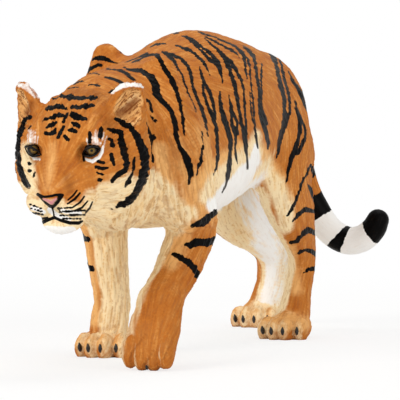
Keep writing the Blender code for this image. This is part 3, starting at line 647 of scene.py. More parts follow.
muzzlePaint = {
    "noseTop": [(37.8, 194.4, 2.5), (43.8, 197, 2), (50, 196.3, 2), (56.3, 194.8, 2), (62.5, 195, 2.5)],
    "noseRight": [(61, 196.5, 3.5), (58.5, 200, 4), (55.5, 203.5, 4.5), (53, 206.3, 3.5),
                  (49.5, 206, 2.5), (46.3, 203, 2)],
    "noseLeft": [(39, 195.5, 2), (42.5, 200, 1.6), (46.3, 203.5, 1.8)],
    "split": [(52, 207, 1), (53.5, 212, 1), (54.2, 217, 1.2)],
    "mouth": [(41.3, 223, 3), (46.3, 220.6, 3), (54.4, 217.5, 2.5), (61.3, 220.6, 2.5), (70, 223, 3),
              (78.8, 223, 3), (82.5, 221.3, 1.5)],
    "farPadEdge": [(33, 218, 2.5), (38.8, 219.4, 2), (47.5, 217.5, 1)],
    "whiskerHigh": [(67.5, 203.8, 1.2), (75, 198.8, 2), (80, 193, 1.5)],
    "whiskerSecond": [(72.5, 207.5, 1.2), (80, 202.5, 1.5), (84.4, 196.3, 1.2)],
    "whiskerThird": [(75, 210.6, 1), (82.5, 207.5, 1.4), (87.5, 201.3, 1)],
    "whiskerLow": [(86, 212.6, 1.2), (90, 208, 1.4), (92.5, 202, 1)],
    "cheekLine": [(68, 200, 1), (74, 194.6, 1.6), (77, 190.4, 1)],
}
whiskerDots = {  # rows of dots: both ends, how many, and their width
    "padHigh": ((57, 208.6), (72, 207.6), 5, 1.6),
    "padMiddle": ((58, 212), (86, 210.6), 9, 1.6),
    "padLow": ((59, 215.4), (86, 214.8), 8, 1.6),
    "padLowest": ((62, 218.6), (82, 218.8), 6, 1.3),
    "farHigh": ((28.8, 203.8), (42.5, 209), 4, 1.7),
    "farMiddle": ((29.6, 208), (43, 211.8), 4, 1.6),
    "farLow": ((30.6, 212.5), (44, 215), 4, 1.6),
}

# Airbrushed colours, drawn the same way, with their softness
creamSpray = {
    "belly": [(208, 196, 14), (222, 184, 26), (240, 172, 30), (254, 150, 16), (257, 134, 4)],
    "thighFront": [(266, 168, 8), (276, 186, 16), (284, 206, 16), (286, 226, 12)],
    "chest": [(150, 176, 14), (160, 196, 30), (168, 216, 40), (190, 214, 12)],
}
paleSpray = {  # where the orange fades to a light orange
    "upperArm": [(190, 208, 12), (183, 235, 16), (172, 262, 12)],
    "rightForeleg": [(80, 232, 14), (88, 270, 12), (95, 320, 12)],
    "leftForeleg": [(170, 214, 10), (176, 232, 6), (166, 262, 5)],
    "flankFoot": [(196, 186, 10), (212, 172, 16), (240, 150, 14)],
    "thigh": [(262, 150, 8), (276, 180, 14), (290, 212, 10)],
    "shin": [(290, 250, 8), (296, 290, 8)],
    "neck": [(160, 150, 12), (168, 186, 10)],
}
whiteSpray = {
    "belly": [(214, 206, 12), (226, 194, 16), (242, 180, 18), (254, 162, 10), (256, 146, 2)],
    "groin": [(256, 184, 10)],
}
# on the inner side of his right hind leg
innerHind = [(250, 200, 18), (264, 222, 26), (270, 256, 22), (268, 292, 18), (266, 310, 14)]
headCream = {
    "cheek": [(94, 202, 16), (106, 204, 24), (118, 192, 18), (130, 180, 4)],
    "pads": [(84, 213, 14), (68, 213, 13), (52, 216, 8), (45, 212, 12), (32, 206, 12)],
    "chin": [(40, 227, 14), (60, 233, 16), (78, 228, 14), (88, 220, 10)],
    "farCheek": [(26, 148, 5), (27, 170, 8), (31, 192, 8)],
}
headPale = {
    "bridge": [(54, 146, 8), (50, 168, 10), (47, 186, 8)],
    "cheek": [(104, 188, 10), (112, 180, 8), (122, 176, 4)],
}
headShade = {  # brown, sprayed thinly
    "temple": [(104, 112, 10), (112, 122, 8)],
    "forehead": [(72, 92, 4), (96, 94, 6)],
    "besideNose": [(66, 176, 3), (70, 190, 3)],
}
earShade = {
    "hollow": [(120, 114, 8), (128, 109, 9), (136, 99, 4)],
    "farHollow": [(27, 113, 6), (31, 103, 4)],
}
earWhite = {
    "rim": [(108, 94.5, 2.5), (115, 89, 5), (124, 85, 5.5), (133, 84, 5), (142, 86, 4)],
    "farRim": [(17, 84, 4), (26, 87, 7), (36, 93, 9), (45, 98, 5)],
}
headWhite = {
    "farBrow": [(30.2, 143, 1.8), (29.6, 132, 0.8)],
    "underEye": [(84, 158, 2), (88, 160.2, 3), (92.5, 161, 3.5), (98.8, 157.6, 3.5), (102.3, 152, 3.5),
                 (103, 147, 2)],
    "farUnderEye": [(28.2, 150, 2), (30, 155, 2.5), (34, 158.6, 3), (39.4, 159, 2.5)],
    "chin": [(47, 230, 9), (60, 233, 12), (72, 231, 9)],
    "lip": [(50, 210, 6), (56, 215, 5), (70, 219.5, 3)],
    "pad": [(62, 211, 4), (80, 213, 4)],
    "farPad": [(32, 208, 4), (44, 212, 4)],
}
browWhite = {
    "first": [(92.6, 145, 1.2), (92, 132, 0.8)],
    "second": [(95.4, 143, 1.8), (95.6, 130, 0.8)],
    "third": [(98, 145, 1.6), (98, 137, 1)],
    "fourth": [(100.5, 145, 1.6), (104.4, 132, 0.8)],
    "fifth": [(103.2, 146, 1.4), (107.4, 136, 0.6)],
    "sixth": [(88, 146, 1), (86.6, 138, 0.6)],
    "far": [(30.2, 143, 1.4), (29.6, 131, 0.8)],
    "farSecond": [(34.8, 143, 1.4), (35.2, 132, 0.8)],
    "farThird": [(27.6, 143, 1), (27, 134, 0.6)],
    "farFourth": [(37, 144, 1), (38, 136, 0.6)],
}
browHaze = {
    "near": [(95, 143, 9), (98, 134, 9)],
    "far": [(32, 142, 7), (32, 133, 7)],
}
nosePink = {
    "leather": [(43.2, 199.2, 1.6), (48, 200.8, 2.8), (51.5, 203.4, 3.0)],
    "leatherRight": [(56.4, 198.8, 1.6), (53.5, 201, 3), (51.8, 203.4, 3.0)],
}


strokeReach = 12.0  # a stroke is felt this far away, in the photo's pixels


def strokeGap(spots, strokes):  # distance outside the nearest stroke, or minus the depth inside it
    nearest = np.full(len(spots), 5 * strokeReach)
    for chain in strokes:
        for (ax, ay, aw), (bx, by, bw) in zip(chain[:-1], chain[1:]):
            around = strokeReach + max(aw, bw)
            near = ((spots[:, 0] > min(ax, bx) - around) & (spots[:, 0] < max(ax, bx) + around)
                    & (spots[:, 1] > min(ay, by) - around) & (spots[:, 1] < max(ay, by) + around))
            if not near.any():
                continue
            offsets = spots[near] - (ax, ay)
            line = np.array([bx - ax, by - ay])
            t = np.clip(offsets @ line / (line @ line + 1e-9), 0, 1)
            away = np.linalg.norm(offsets - t[:, None] * line, axis=1)
            nearest[near] = np.minimum(nearest[near], away - (aw + t * (bw - aw)) / 2)
    return nearest


def dotRows(rows):
    chains = []
    for (ax, ay), (bx, by), count, width in rows.values():
        for t in (np.arange(count) + 0.5) / count:
            u, v = ax + t * (bx - ax), ay + t * (by - ay)
            chains.append([(u - 0.6, v, width), (u + 0.6, v, width)])
    return chains


def seenPlaces(points, normals):  # in the photo: as he stands, on his left side, and the one that fits
    side = np.where(points[:, 0] >= 0, 1.0, -1.0)
    facing = (normals * unit(np.array(place["eye"]) - points)).sum(1) > 0.03
    own = toPhoto(points)
    left = toPhoto(points * np.stack([side, np.ones(len(side)), np.ones(len(side))], 1))
    return facing, own, left, np.where(facing[:, None], own, left)


def nearHead(points):
    return np.min([lump.distance(points) for lump in groups["head"] if not lump.cut], axis=0) < 0.4


def carvedOrPainted(mesh):  # the seen front of him, his head, and the edges of the stripes
    points = placesOf(mesh)
    facing, _, _, photo = seenPlaces(points, normalsOf(mesh))
    front = points[:, 1] < skin["fineFrom"] - 0.5 * (points[:, 2] - 25)
    strokes = [chain for chains in (flankStripes, neckStripes, behindRuff, forelegBars, hindBars)
               for chain in chains.values()]
    edge = np.abs(strokeGap(photo, strokes)) < skin["nearEdge"]
    return ((front | edge) & facing | nearHead(points)) & (points[:, 2] > 1)


def finelyPainted(mesh):  # the edges of the strokes on the face, and the lids
    points = placesOf(mesh)
    facing, _, _, photo = seenPlaces(points, normalsOf(mesh))
    local = (points - headCentre) @ headTurn
    onFace = nearHead(points) & (local[:, 1] < 3)
    facePaint = (faceStripes, eyePaint, muzzlePaint, nosePink)
    strokes = [chain for chains in facePaint for chain in chains.values()]
    edge = np.abs(strokeGap(photo, strokes + dotRows(whiskerDots))) < skin["nearFaceEdge"]
    nearEye = np.linalg.norm(np.abs(local) - (5.4, 7.2, 3.6), axis=1) < 2.4
    return (edge & facing | nearEye) & onFace


groups = clayGroups()
lumps = [lump for parts in groups.values() for lump in parts]
tiger = wovenSkin(lumps)
mesh = bmesh.new()
mesh.from_mesh(tiger.data)
drape(mesh, lumps, rounds=2)
refine(mesh)
drape(mesh, lumps, rounds=1)
refine(mesh, carvedOrPainted(mesh))
drape(mesh, lumps, rounds=1, ease=0.3)
refine(mesh, finelyPainted(mesh))
drape(mesh, lumps, rounds=1, ease=0.3)
print("skin draped:", len(mesh.faces), "faces")


# Where each point of the skin belongs, and which way the fur runs there

def rowShare(points, rows):  # place along a limb, in rows, and which way the limb runs there
    gaps = np.linalg.norm(points[:, None] - rows[None, :, :3], axis=2)
    nearest = gaps.argmin(1)
    tangents = np.gradient(rows[:, :3], axis=0)
    lengths = np.linalg.norm(tangents, axis=1)
    ways = tangents / lengths[:, None]
    extra = ((points - rows[nearest, :3]) * ways[nearest]).sum(1) / lengths[nearest]
    return nearest + np.clip(extra, -0.6, 0.6), ways[nearest]


points = placesOf(mesh)
normals = normalsOf(mesh)
gaps = {name: np.min([lump.distance(points) for lump in parts if not lump.cut], axis=0)
        for name, parts in groups.items()}
strength = {name: np.exp(-np.clip(gap, -3, 40) / 0.9) for name, gap in gaps.items()}
total = sum(strength.values()) + 1e-12
share = {name: value / total for name, value in strength.items()}

local = (points - headCentre) @ headTurn  # the head's own frame
toNose = np.linalg.norm(local - np.array([0, -15.1, -1.7]), axis=1)
side = np.where(points[:, 0] >= 0, 1.0, -1.0)
facing, ownPhoto, leftPhoto, photo = seenPlaces(points, normals)


def furFlow():
    low = easeStep(points[:, 2], 58, 30)
    front = easeStep(points[:, 1], -40, -56)
    flow = share["trunk"][:, None] * unit(np.stack([
        0.15 * side * low, 1.0 - 0.75 * front, -0.15 - 0.85 * low - 0.8 * front], 1))
    for name in legNames:
        rows = groups[name][0].rows
        _, ways = rowShare(points, rows)
        flow += share[name][:, None] * ways
    for name in ("leftPaw", "rightPaw", "leftHindPaw", "rightHindPaw"):
        flow += share[name][:, None] * unit(np.stack([0 * side, -0.8 + 0 * side, -0.7 + 0 * side], 1))
    _, ways = rowShare(points, groups["tail"][0].rows)
    flow += share["tail"][:, None] * ways
    source = np.array([0.0, -17.0, -1.0])
    flow += share["head"][:, None] * (unit(local - source) @ headTurn.T)
    flow -= (flow * normals).sum(1)[:, None] * normals
    return unit(flow)


def latticeNoise(cells, seed):
    cells = cells.astype(np.int64)
    mixed = cells[:, 0] * 73856093 ^ cells[:, 1] * 19349663 ^ cells[:, 2] * 83492791 ^ seed * 2654435761
    mixed = (mixed ^ (mixed >> 13)) * 1274126177 & 0xFFFFFFFF
    mixed = (mixed ^ (mixed >> 16)) * 2246822519 & 0xFFFFFFFF
    return (mixed ^ (mixed >> 15)) / 2147483648 - 1


def solidNoise(points, size, seed):
    scaled = points / size
    corner = np.floor(scaled)
    t = scaled - corner
    t = t * t * (3 - 2 * t)
    value = 0
    for dx in (0, 1):
        for dy in (0, 1):
            for dz in (0, 1):
                weight = np.abs(1 - dx - t[:, 0]) * np.abs(1 - dy - t[:, 1]) * np.abs(1 - dz - t[:, 2])
                value = value + weight * latticeNoise(corner + (dx, dy, dz), seed)
    return value


def combedNoise(points, flow, size, reach, seed):
    taps = 2 * math.ceil(reach / size / 0.7) + 1
    value = sum(solidNoise(points + t * flow, size, seed) for t in np.linspace(-reach, reach, taps))
    return value / value.std()


flow = furFlow()
fur = {
    "strand": 0.66, "strandReach": 2.8,  # millimetres across a carved tuft, and half its length
    "hair": 0.45, "hairReach": 1.8,
    # how deep it is carved
    "chest": 0.36, "flank": 0.08, "foreleg": 0.20, "forePaw": 0.12, "hindLeg": 0.12, "tail": 0.03,
    "cheek": 0.24, "muzzle": 0.06,
}


def carvingDepth():
    chestShare = easeStep(points[:, 1], -30, -50) * easeStep(points[:, 2], 54, 40)
    hindLegs = share["leftLeg"] + share["rightLeg"] + share["leftHindPaw"] + share["rightHindPaw"]
    depth = share["trunk"] * (fur["flank"] + (fur["chest"] - fur["flank"]) * chestShare)
    depth += (share["leftArm"] + share["rightArm"]) * fur["foreleg"]
    depth += (share["leftPaw"] + share["rightPaw"]) * fur["forePaw"]
    depth += hindLegs * fur["hindLeg"]
    depth += share["tail"] * fur["tail"]
    depth += share["head"] * (fur["muzzle"] + (fur["cheek"] - fur["muzzle"]) * easeStep(toNose, 7, 17))
    return depth * easeStep(points[:, 2], 0.6, 2.0)  # the soles stay smooth


strands = np.abs(combedNoise(points, flow, fur["strand"], fur["strandReach"], 3))
hairs = combedNoise(points, flow, fur["hair"], fur["hairReach"], 7)
relief = np.clip(0.75 * strands + 0.22 * hairs, -0.6, 2.0)
depth = carvingDepth()
points = points + (depth * (relief - 0.9))[:, None] * normals
moveTo(mesh, points)
print("fur carved")


# Where each paint goes: shares from 0 to 1 over the skin, and the gap to the nearest black stroke

def only(where, gap):  # keeps strokes to one part of him
    return gap + strokeReach * (1 - where)


def sprayed(spots, strokes, outer, inner):  # from 0 at the outer gap from the strokes to 1 at the inner one
    return easeStep(strokeGap(spots, strokes.values()), outer, inner)


def strongest(*layers):
    return np.maximum.reduce(layers)


def gapTo(lumps):
    return np.min([lump.placed(headTurn, headCentre).distance(points) for lump in lumps], axis=0)


onHead = easeStep(share["head"], 0.3, 0.6)
onFace = onHead * easeStep(local[:, 1], 4.5, 2.5)
onEar = onHead * easeStep(gapTo(bothEars(head["earLeaf"][1:])), 0.9, 0.2)
inEar = onEar * easeStep(gapTo(bothEars(head["earHollow"])), 0.5, 0.1)
onTail = easeStep(share["tail"], 0.4, 0.6)
onLeftArm = easeStep(share["leftArm"] + share["leftPaw"], 0.4, 0.6)
onLeftLeg = easeStep(share["leftLeg"] + share["leftHindPaw"], 0.3, 0.5)
rightLimbs = share["rightArm"] + share["rightPaw"] + share["rightLeg"] + share["rightHindPaw"]
onRightLimb = easeStep(rightLimbs, 0.4, 0.6)
onRightBlade = (facing & (points[:, 0] < -1.0) & (points[:, 1] < -10)).astype(float)
onInnerHind = easeStep(share["rightLeg"], 0.3, 0.6) * easeStep(normals[:, 0], -0.35, 0.1)
onLegs = easeStep(share["leftLeg"] + share["rightLeg"] + share["leftArm"] + share["rightArm"], 0.3, 0.6)
innerSide = onLegs * easeStep(normals[:, 0] * side, 0.1, -0.25)
outerSide = easeStep(normals[:, 0] * side, 0.15, 0.45)
underside = easeStep(normals[:, 2], -0.15, -0.6)

tailBands = {
    "rings": ((0.9, 1.25), (1.9, 2.25), (2.8, 3.15), (3.55, 3.8), (4.45, 5.36), (6.58, 7.25), (8.74, 11)),
    "slant": -0.09,  # the rings lean by this share of a joint for each millimetre upwards
    "leanFrom": (5.6, 6.4),  # joints between which they begin to lean
    "whiteFrom": (4.3, 4.9),  # joints between which the orange turns white
    "joint": 18.0,  # how many of the photo's pixels a joint counts as
    "deepest": 5.0,
}
along, _ = rowShare(points, groups["tail"][0].rows)
along = along / tailSteps


def tailRings():
    lean = easeStep(along, *tailBands["leanFrom"]) * (points[:, 2] - 20) * tailBands["slant"]
    gaps = [np.maximum(start - along - lean, along + lean - end) for start, end in tailBands["rings"]]
    return np.maximum(tailBands["joint"] * np.min(gaps, axis=0), -tailBands["deepest"])


def stripePaint():  # the strokes are drawn a little wider than they are written
    flankShare = (1 - onHead) * (1 - onTail) * (1 - onRightBlade) * (1 - innerSide)
    outOfSight = np.where(facing & (points[:, 1] > 0), 0, outerSide)
    gaps = [
        only(flankShare, strokeGap(leftPhoto, flankStripes.values())),
        only((1 - onHead) * (1 - onTail), strokeGap(photo, neckStripes.values())),
        only(1 - onFace, strokeGap(photo, behindRuff.values())),
        only(onLeftArm, strokeGap(ownPhoto, forelegBars.values())),
        only(onLeftLeg, strokeGap(ownPhoto, hindBars.values())),
        only(onRightLimb * outOfSight, 4 * strokeGap(points[:, 1:], rightBars.values())),
        only(onTail, tailRings()),
    ]
    for strokes in (faceStripes.values(), muzzlePaint.values(), eyePaint.values(), dotRows(whiskerDots)):
        gaps.append(only(onFace, strokeGap(photo, strokes)))
    return np.minimum.reduce(gaps) - np.where(onHead > 0.5, 0.35, 0.15)


legCream = {  # how far round each leg the cream reaches
    "leftArm": -0.22, "leftPaw": -0.35, "rightArm": 0.25, "rightPaw": 0.1,
    "leftLeg": -0.12, "leftHindPaw": -0.3, "rightLeg": 0.5, "rightHindPaw": 0.3,
}


def legInsides():
    cream = 0
    for name, limit in legCream.items():
        around = normals[:, 0] * (1 if name.startswith("left") else -1)
        amount = easeStep(around, limit + 0.22, limit - 0.22)
        if name.endswith("Paw"):
            amount = amount * 0.55
        cream = cream + share[name] * amount * easeStep(points[:, 2], 44, 32)
    return cream


def creamPaint():
    toeShare = share["leftHindPaw"] + share["rightHindPaw"] + 0.6 * share["rightPaw"]
    toeFronts = easeStep(-normals[:, 1], 0.2, 0.8) * easeStep(points[:, 2], 9, 6)
    return strongest(
        legInsides(),
        share["trunk"] * underside,
        (1 - onHead) * sprayed(photo, creamSpray, 10, -7),
        onHead * sprayed(photo, headCream, 13, -6),
        onHead * underside * easeStep(local[:, 2], 0, -3),
        0.3 * inEar,
        0.5 * toeShare * toeFronts,
    )


def whitePaint():
    return strongest(
        share["trunk"] * easeStep(normals[:, 2], -0.35, -0.75) * easeStep(points[:, 1], -24, -12),
        (1 - onHead) * sprayed(photo, whiteSpray, 6, -4),
        0.8 * onInnerHind * easeStep(strokeGap(ownPhoto, [innerHind]), 16, -8),
        onFace * sprayed(photo, headWhite, 1.0, -1.0),
        0.6 * onFace * sprayed(photo, browWhite, 1.2, -0.6),
        0.45 * onFace * sprayed(photo, browHaze, 4, -3),
        np.where(points[:, 0] < 0, 0.6, 0.85) * onEar * sprayed(photo, earWhite, 1.2, -1.0),
        onTail * easeStep(along, *tailBands["whiteFrom"]),
    )


def palePaint():
    flatPaws = share["rightPaw"] + share["leftHindPaw"] + share["rightHindPaw"]
    return strongest(
        (1 - onHead) * sprayed(photo, paleSpray, 10, -6),
        0.55 * onHead * sprayed(photo, headPale, 10, -5),
        0.8 * inEar,
        0.8 * flatPaws * easeStep(normals[:, 2], -0.4, 0.3),
        0.9 * share["leftArm"] * easeStep(points[:, 2], 20, 32),
    )


# painted shade in the ear hollows, at the temples, on the forehead, beside the nose and in the creases
# between the toes; his left foreleg is also browner towards the bottom
def shadePaint():
    return strongest(
        0.95 * onEar * sprayed(photo, earShade, 3, -2.5),
        0.4 * onHead * sprayed(photo, headShade, 7, -3),
        0.15 * (share["leftArm"] + share["leftPaw"]) * easeStep(points[:, 2], 19, 10),
        0.7 * onLeftArm * sprayed(ownPhoto, toeCreaseShade, 1.2, -0.6),
    )


values = {
    "stripe": stripePaint(),
    "cream": creamPaint(),
    "white": whitePaint(),
    "pink": onFace * sprayed(photo, nosePink, 0.6, -0.5),
    # the brown of painted shade
    "deep": shadePaint(),
    "pale": palePaint(),
    "relief": relief,
    "ruffle": np.clip(depth / fur["chest"], 0, 1) * (1 - 0.9 * onInnerHind),  # how rough the carving looks
    "crisp": onFace * strongest(*(
        sprayed(photo, strokes, 5, 2) for strokes in (muzzlePaint, eyePaint, nosePink))),
    "inEar": inEar,
}
print("paint placed")


# The finished skin, in metres on the model's own origin

def settled(points):
    return (points - np.array([*place["middle"], 0])) / place["metre"]


def settleMesh(mesh):
    shift = Matrix.Translation((-place["middle"][0], -place["middle"][1], 0))
    mesh.transform(Matrix.Scale(1 / place["metre"], 4) @ shift)


mesh.verts.ensure_lookup_table()
layers = {name: mesh.verts.layers.float.new(name) for name in values}
flowLayer = mesh.verts.layers.float_vector.new("flow")
for k, vertex in enumerate(mesh.verts):
    vertex[flowLayer] = flow[k]
for name, layer in layers.items():
    for vertex, value in zip(mesh.verts, values[name].tolist()):
        vertex[layer] = value
cutSoles(mesh)
settleMesh(mesh)
mesh.to_mesh(tiger.data)
mesh.free()
tiger.data.shade_smooth()
print("tiger skin:", len(tiger.data.polygons), "triangles")


# Materials: small helpers, then one for each finish

def addNode(tree, kind, **settings):
    node = tree.nodes.new(kind)
    for name, value in settings.items():
        setattr(node, name, value)
    return node


def plug(tree, value, socket):
    if isinstance(value, bpy.types.NodeSocket):
        tree.links.new(value, socket)
    else:
        socket.default_value = value


def calc(tree, operation, *values, clamp=False):
    node = addNode(tree, "ShaderNodeMath", operation=operation, use_clamp=clamp)
    for value, socket in zip(values, node.inputs):
        plug(tree, value, socket)
    return node.outputs[0]


def vectorCalc(tree, operation, *values, scale=None):
    node = addNode(tree, "ShaderNodeVectorMath", operation=operation)
    for value, socket in zip(values, node.inputs):
        plug(tree, value, socket)
    if scale is not None:
        plug(tree, scale, node.inputs["Scale"])
    return node.outputs[0]


def ease(tree, value, low, high, fromLow=0.0):
    node = addNode(tree, "ShaderNodeMapRange", interpolation_type="SMOOTHSTEP")
    for given, socket in zip((value, low, high, fromLow), node.inputs):
        plug(tree, given, socket)
    return node.outputs[0]


def blendColours(tree, amount, first, second):
    node = addNode(tree, "ShaderNodeMix", data_type="RGBA")
    plug(tree, amount, node.inputs["Factor"])
    plug(tree, first, node.inputs["A"])
    plug(tree, second, node.inputs["B"])
    return node.outputs["Result"]


def noiseAt(tree, where, scale, detail=2.0):
    node = addNode(tree, "ShaderNodeTexNoise")
    plug(tree, where, node.inputs["Vector"])
    node.inputs["Scale"].default_value = scale
    node.inputs["Detail"].default_value = detail
    return node.outputs["Fac"]


def painted(red, green, blue):  # a colour as it is seen, 0 to 255, to linear light
    def light(value):
        value /= 255
        return value / 12.92 if value <= 0.04045 else ((value + 0.055) / 1.055) ** 2.4
    return (light(red), light(green), light(blue), 1)


def newMaterial(name):
    material = bpy.data.materials.new(name)
    material.use_nodes = True
    tree = material.node_tree
    return material, tree, tree.nodes["Principled BSDF"]


def combedFurGroup():  # noise drawn out along the fur: thin strands that follow the flow
    tree = bpy.data.node_groups.new("combedFur", "ShaderNodeTree")
    for name, kind in (("Place", "NodeSocketVector"), ("Flow", "NodeSocketVector"),
                       ("Scale", "NodeSocketFloat"), ("Reach", "NodeSocketFloat")):
        tree.interface.new_socket(name, in_out="INPUT", socket_type=kind)
    tree.interface.new_socket("Strands", in_out="OUTPUT", socket_type="NodeSocketFloat")
    given = addNode(tree, "NodeGroupInput")
    out = addNode(tree, "NodeGroupOutput")
    total = None
    for step in (-1.0, -0.667, -0.333, 0.0, 0.333, 0.667, 1.0):
        shift = calc(tree, "MULTIPLY", given.outputs["Reach"], step)
        where = vectorCalc(tree, "ADD", given.outputs["Place"],
                           vectorCalc(tree, "SCALE", given.outputs["Flow"], scale=shift))
        noise = addNode(tree, "ShaderNodeTexNoise")
        noise.inputs["Detail"].default_value = 1.0
        plug(tree, where, noise.inputs["Vector"])
        plug(tree, given.outputs["Scale"], noise.inputs["Scale"])
        total = noise.outputs["Fac"] if total is None else calc(tree, "ADD", total, noise.outputs["Fac"])
    # seven samples around 3.5, spread out again to 0..1
    strands = calc(tree, "MULTIPLY_ADD", total, 0.75, -2.125, clamp=True)
    plug(tree, strands, out.inputs["Strands"])
    return tree


combedFur = combedFurGroup()

furPaint = {
    "orangeDeep": painted(168, 92, 33),
    "orange": painted(188, 113, 45),
    "orangeLight": painted(214, 146, 74),
    "cream": painted(244, 222, 180),
    "creamDeep": painted(238, 204, 150),
    "pale": painted(240, 186, 118),
    "white": painted(244, 243, 240),
    # painted shade: brown in the grooves of the carving, and a deeper brown in the shaded places
    "grooveShade": painted(172, 116, 64),
    "deep": painted(120, 62, 24),
    "black": painted(6, 5, 5), "blackLight": painted(18, 14, 13),
    "pink": painted(206, 138, 142),
    "hairScale": 2600.0, "tuftScale": 900.0, "patchScale": 90.0,  # the grain of the noise, to the metre
    "hairReach": 0.0009, "tuftReach": 0.0022,  # metres that a strand and a tuft are drawn out along the fur
    "roughness": 0.55, "blackRoughness": 0.38, "shine": 0.05,
    "relief": 0.00016,  # metres
}


def coat(tree, marks, hair, tuft, patch):  # orange, light orange, cream and white, brushed along the fur
    sway = calc(tree, "SUBTRACT", tuft, 0.5)
    softSway = calc(tree, "MULTIPLY", sway, calc(tree, "SUBTRACT", 1.0, marks["crisp"]))
    tone = calc(tree, "ADD", calc(tree, "MULTIPLY", patch, 0.6), calc(tree, "MULTIPLY", tuft, 0.45))
    tone = calc(tree, "MULTIPLY_ADD", hair, 0.42, tone)
    colour = blendColours(tree, ease(tree, tone, 0.38, 0.72), furPaint["orangeDeep"], furPaint["orange"])
    colour = blendColours(tree, ease(tree, tone, 0.70, 1.15), colour, furPaint["orangeLight"])
    brushedPale = calc(tree, "MULTIPLY_ADD", sway, 0.3, marks["pale"])
    paleShare = calc(tree, "MULTIPLY", ease(tree, brushedPale, 0.1, 1.0), 0.85)
    colour = blendColours(tree, paleShare, colour, furPaint["pale"])
    brushedCream = calc(tree, "MULTIPLY_ADD", softSway, 0.25, marks["cream"])
    creamTone = blendColours(tree, ease(tree, tone, 0.45, 0.85), furPaint["creamDeep"], furPaint["cream"])
    colour = blendColours(tree, ease(tree, brushedCream, 0.18, 0.82), colour, creamTone)
    brushedWhite = calc(tree, "MULTIPLY_ADD", softSway, 0.5, marks["white"])
    return blendColours(tree, ease(tree, brushedWhite, 0.2, 0.8), colour, furPaint["white"])


def withPaintedShade(tree, colour, marks, hair, tuft):  # painted shade: brown in the grooves of the carving and in the shaded places; and the pink
    # painted shade in the grooves of the carving, and in the fine grooves between the hairs
    groove = ease(tree, marks["relief"], 0.42, 0.0)
    ruffled = calc(tree, "MULTIPLY_ADD", marks["ruffle"], 0.42, 0.06)
    grooveShadeShare = calc(tree, "MULTIPLY", groove, ruffled, clamp=True)
    grooveShadeShare = calc(tree, "MULTIPLY", grooveShadeShare, calc(tree, "MULTIPLY_ADD", marks["white"], -0.75, 1.0))
    colour = blendColours(tree, grooveShadeShare, colour, furPaint["grooveShade"])
    fineGrooveShade = calc(tree, "MULTIPLY", ease(tree, hair, 0.40, 0.10), 0.34)
    fineGrooveShade = calc(tree, "MULTIPLY", fineGrooveShade, calc(tree, "MULTIPLY_ADD", marks["white"], -0.8, 1.0))
    colour = blendColours(tree, fineGrooveShade, colour, furPaint["grooveShade"])
    # a deeper brown of painted shade in the hollows and creases
    brownShadeShare = calc(tree, "MULTIPLY", marks["deep"], calc(tree, "MULTIPLY_ADD", tuft, 0.5, 0.6), clamp=True)
    colour = blendColours(tree, brownShadeShare, colour, furPaint["deep"])
    # painted shade among the hairs in the ear hollows
    earHollowShade = calc(tree, "MULTIPLY", ease(tree, hair, 0.5, 0.25), 0.8)
    colour = blendColours(tree, calc(tree, "MULTIPLY", marks["inEar"], earHollowShade), colour, furPaint["deep"])
    return blendColours(tree, marks["pink"], colour, furPaint["pink"])


def blackened(tree, marks, hair, tuft):  # how black each point is: a stripe's edges break up along the fur
    swayFine = calc(tree, "SUBTRACT", hair, 0.5)
    ragged = calc(tree, "MULTIPLY_ADD", swayFine, 0.9, calc(tree, "SUBTRACT", tuft, 0.5))
    soft = calc(tree, "SUBTRACT", 1.0, marks["crisp"])
    ragged = calc(tree, "MULTIPLY", ragged, calc(tree, "MULTIPLY_ADD", soft, 0.85, 0.15))
    blackShare = ease(tree, calc(tree, "ADD", marks["stripe"], ragged), 0.25, -0.25)
    return calc(tree, "MULTIPLY", blackShare, calc(tree, "SUBTRACT", 1.0, marks["pink"]), clamp=True)


def furMaterial():
    material, tree, shader = newMaterial("paintedFur")
    where = addNode(tree, "ShaderNodeTexCoord").outputs["Object"]
    flowVector = addNode(tree, "ShaderNodeAttribute", attribute_name="flow").outputs["Vector"]
    marks = {}
    for name in values:
        marks[name] = addNode(tree, "ShaderNodeAttribute", attribute_name=name).outputs["Fac"]

    def strands(scale, reach):
        node = addNode(tree, "ShaderNodeGroup", node_tree=combedFur)
        plug(tree, where, node.inputs["Place"])
        plug(tree, flowVector, node.inputs["Flow"])
        node.inputs["Scale"].default_value = scale
        node.inputs["Reach"].default_value = reach
        return node.outputs["Strands"]

    hair = strands(furPaint["hairScale"], furPaint["hairReach"])
    tuft = strands(furPaint["tuftScale"], furPaint["tuftReach"])
    patch = noiseAt(tree, where, furPaint["patchScale"], detail=3.0)
    colour = withPaintedShade(tree, coat(tree, marks, hair, tuft, patch), marks, hair, tuft)
    blackShare = blackened(tree, marks, hair, tuft)
    blackTone = blendColours(tree, ease(tree, hair, 0.62, 0.95), furPaint["black"], furPaint["blackLight"])
    plug(tree, blendColours(tree, blackShare, colour, blackTone), shader.inputs["Base Color"])
    rough = calc(tree, "MULTIPLY_ADD", blackShare, furPaint["blackRoughness"] - furPaint["roughness"],
                 calc(tree, "MULTIPLY_ADD", tuft, 0.10, furPaint["roughness"] - 0.05))
    plug(tree, rough, shader.inputs["Roughness"])
    shader.inputs["Specular IOR Level"].default_value = furPaint["shine"]

    height = calc(tree, "ADD", calc(tree, "MULTIPLY", hair, 0.6), calc(tree, "MULTIPLY", tuft, 0.6))
    height = calc(tree, "MULTIPLY", height, calc(tree, "MULTIPLY_ADD", marks["ruffle"], 0.9, 0.35))
    height = calc(tree, "MULTIPLY_ADD", blackShare, 0.12, height)
    bump = addNode(tree, "ShaderNodeBump")
    bump.inputs["Strength"].default_value = 0.8
    bump.inputs["Distance"].default_value = furPaint["relief"]
    plug(tree, height, bump.inputs["Height"])
    plug(tree, bump.outputs["Normal"], shader.inputs["Normal"])
    return material


tiger.data.materials.append(furMaterial())
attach(tiger, "root")
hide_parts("tiger")


# Eyes: glossy painted balls that sit in the lids

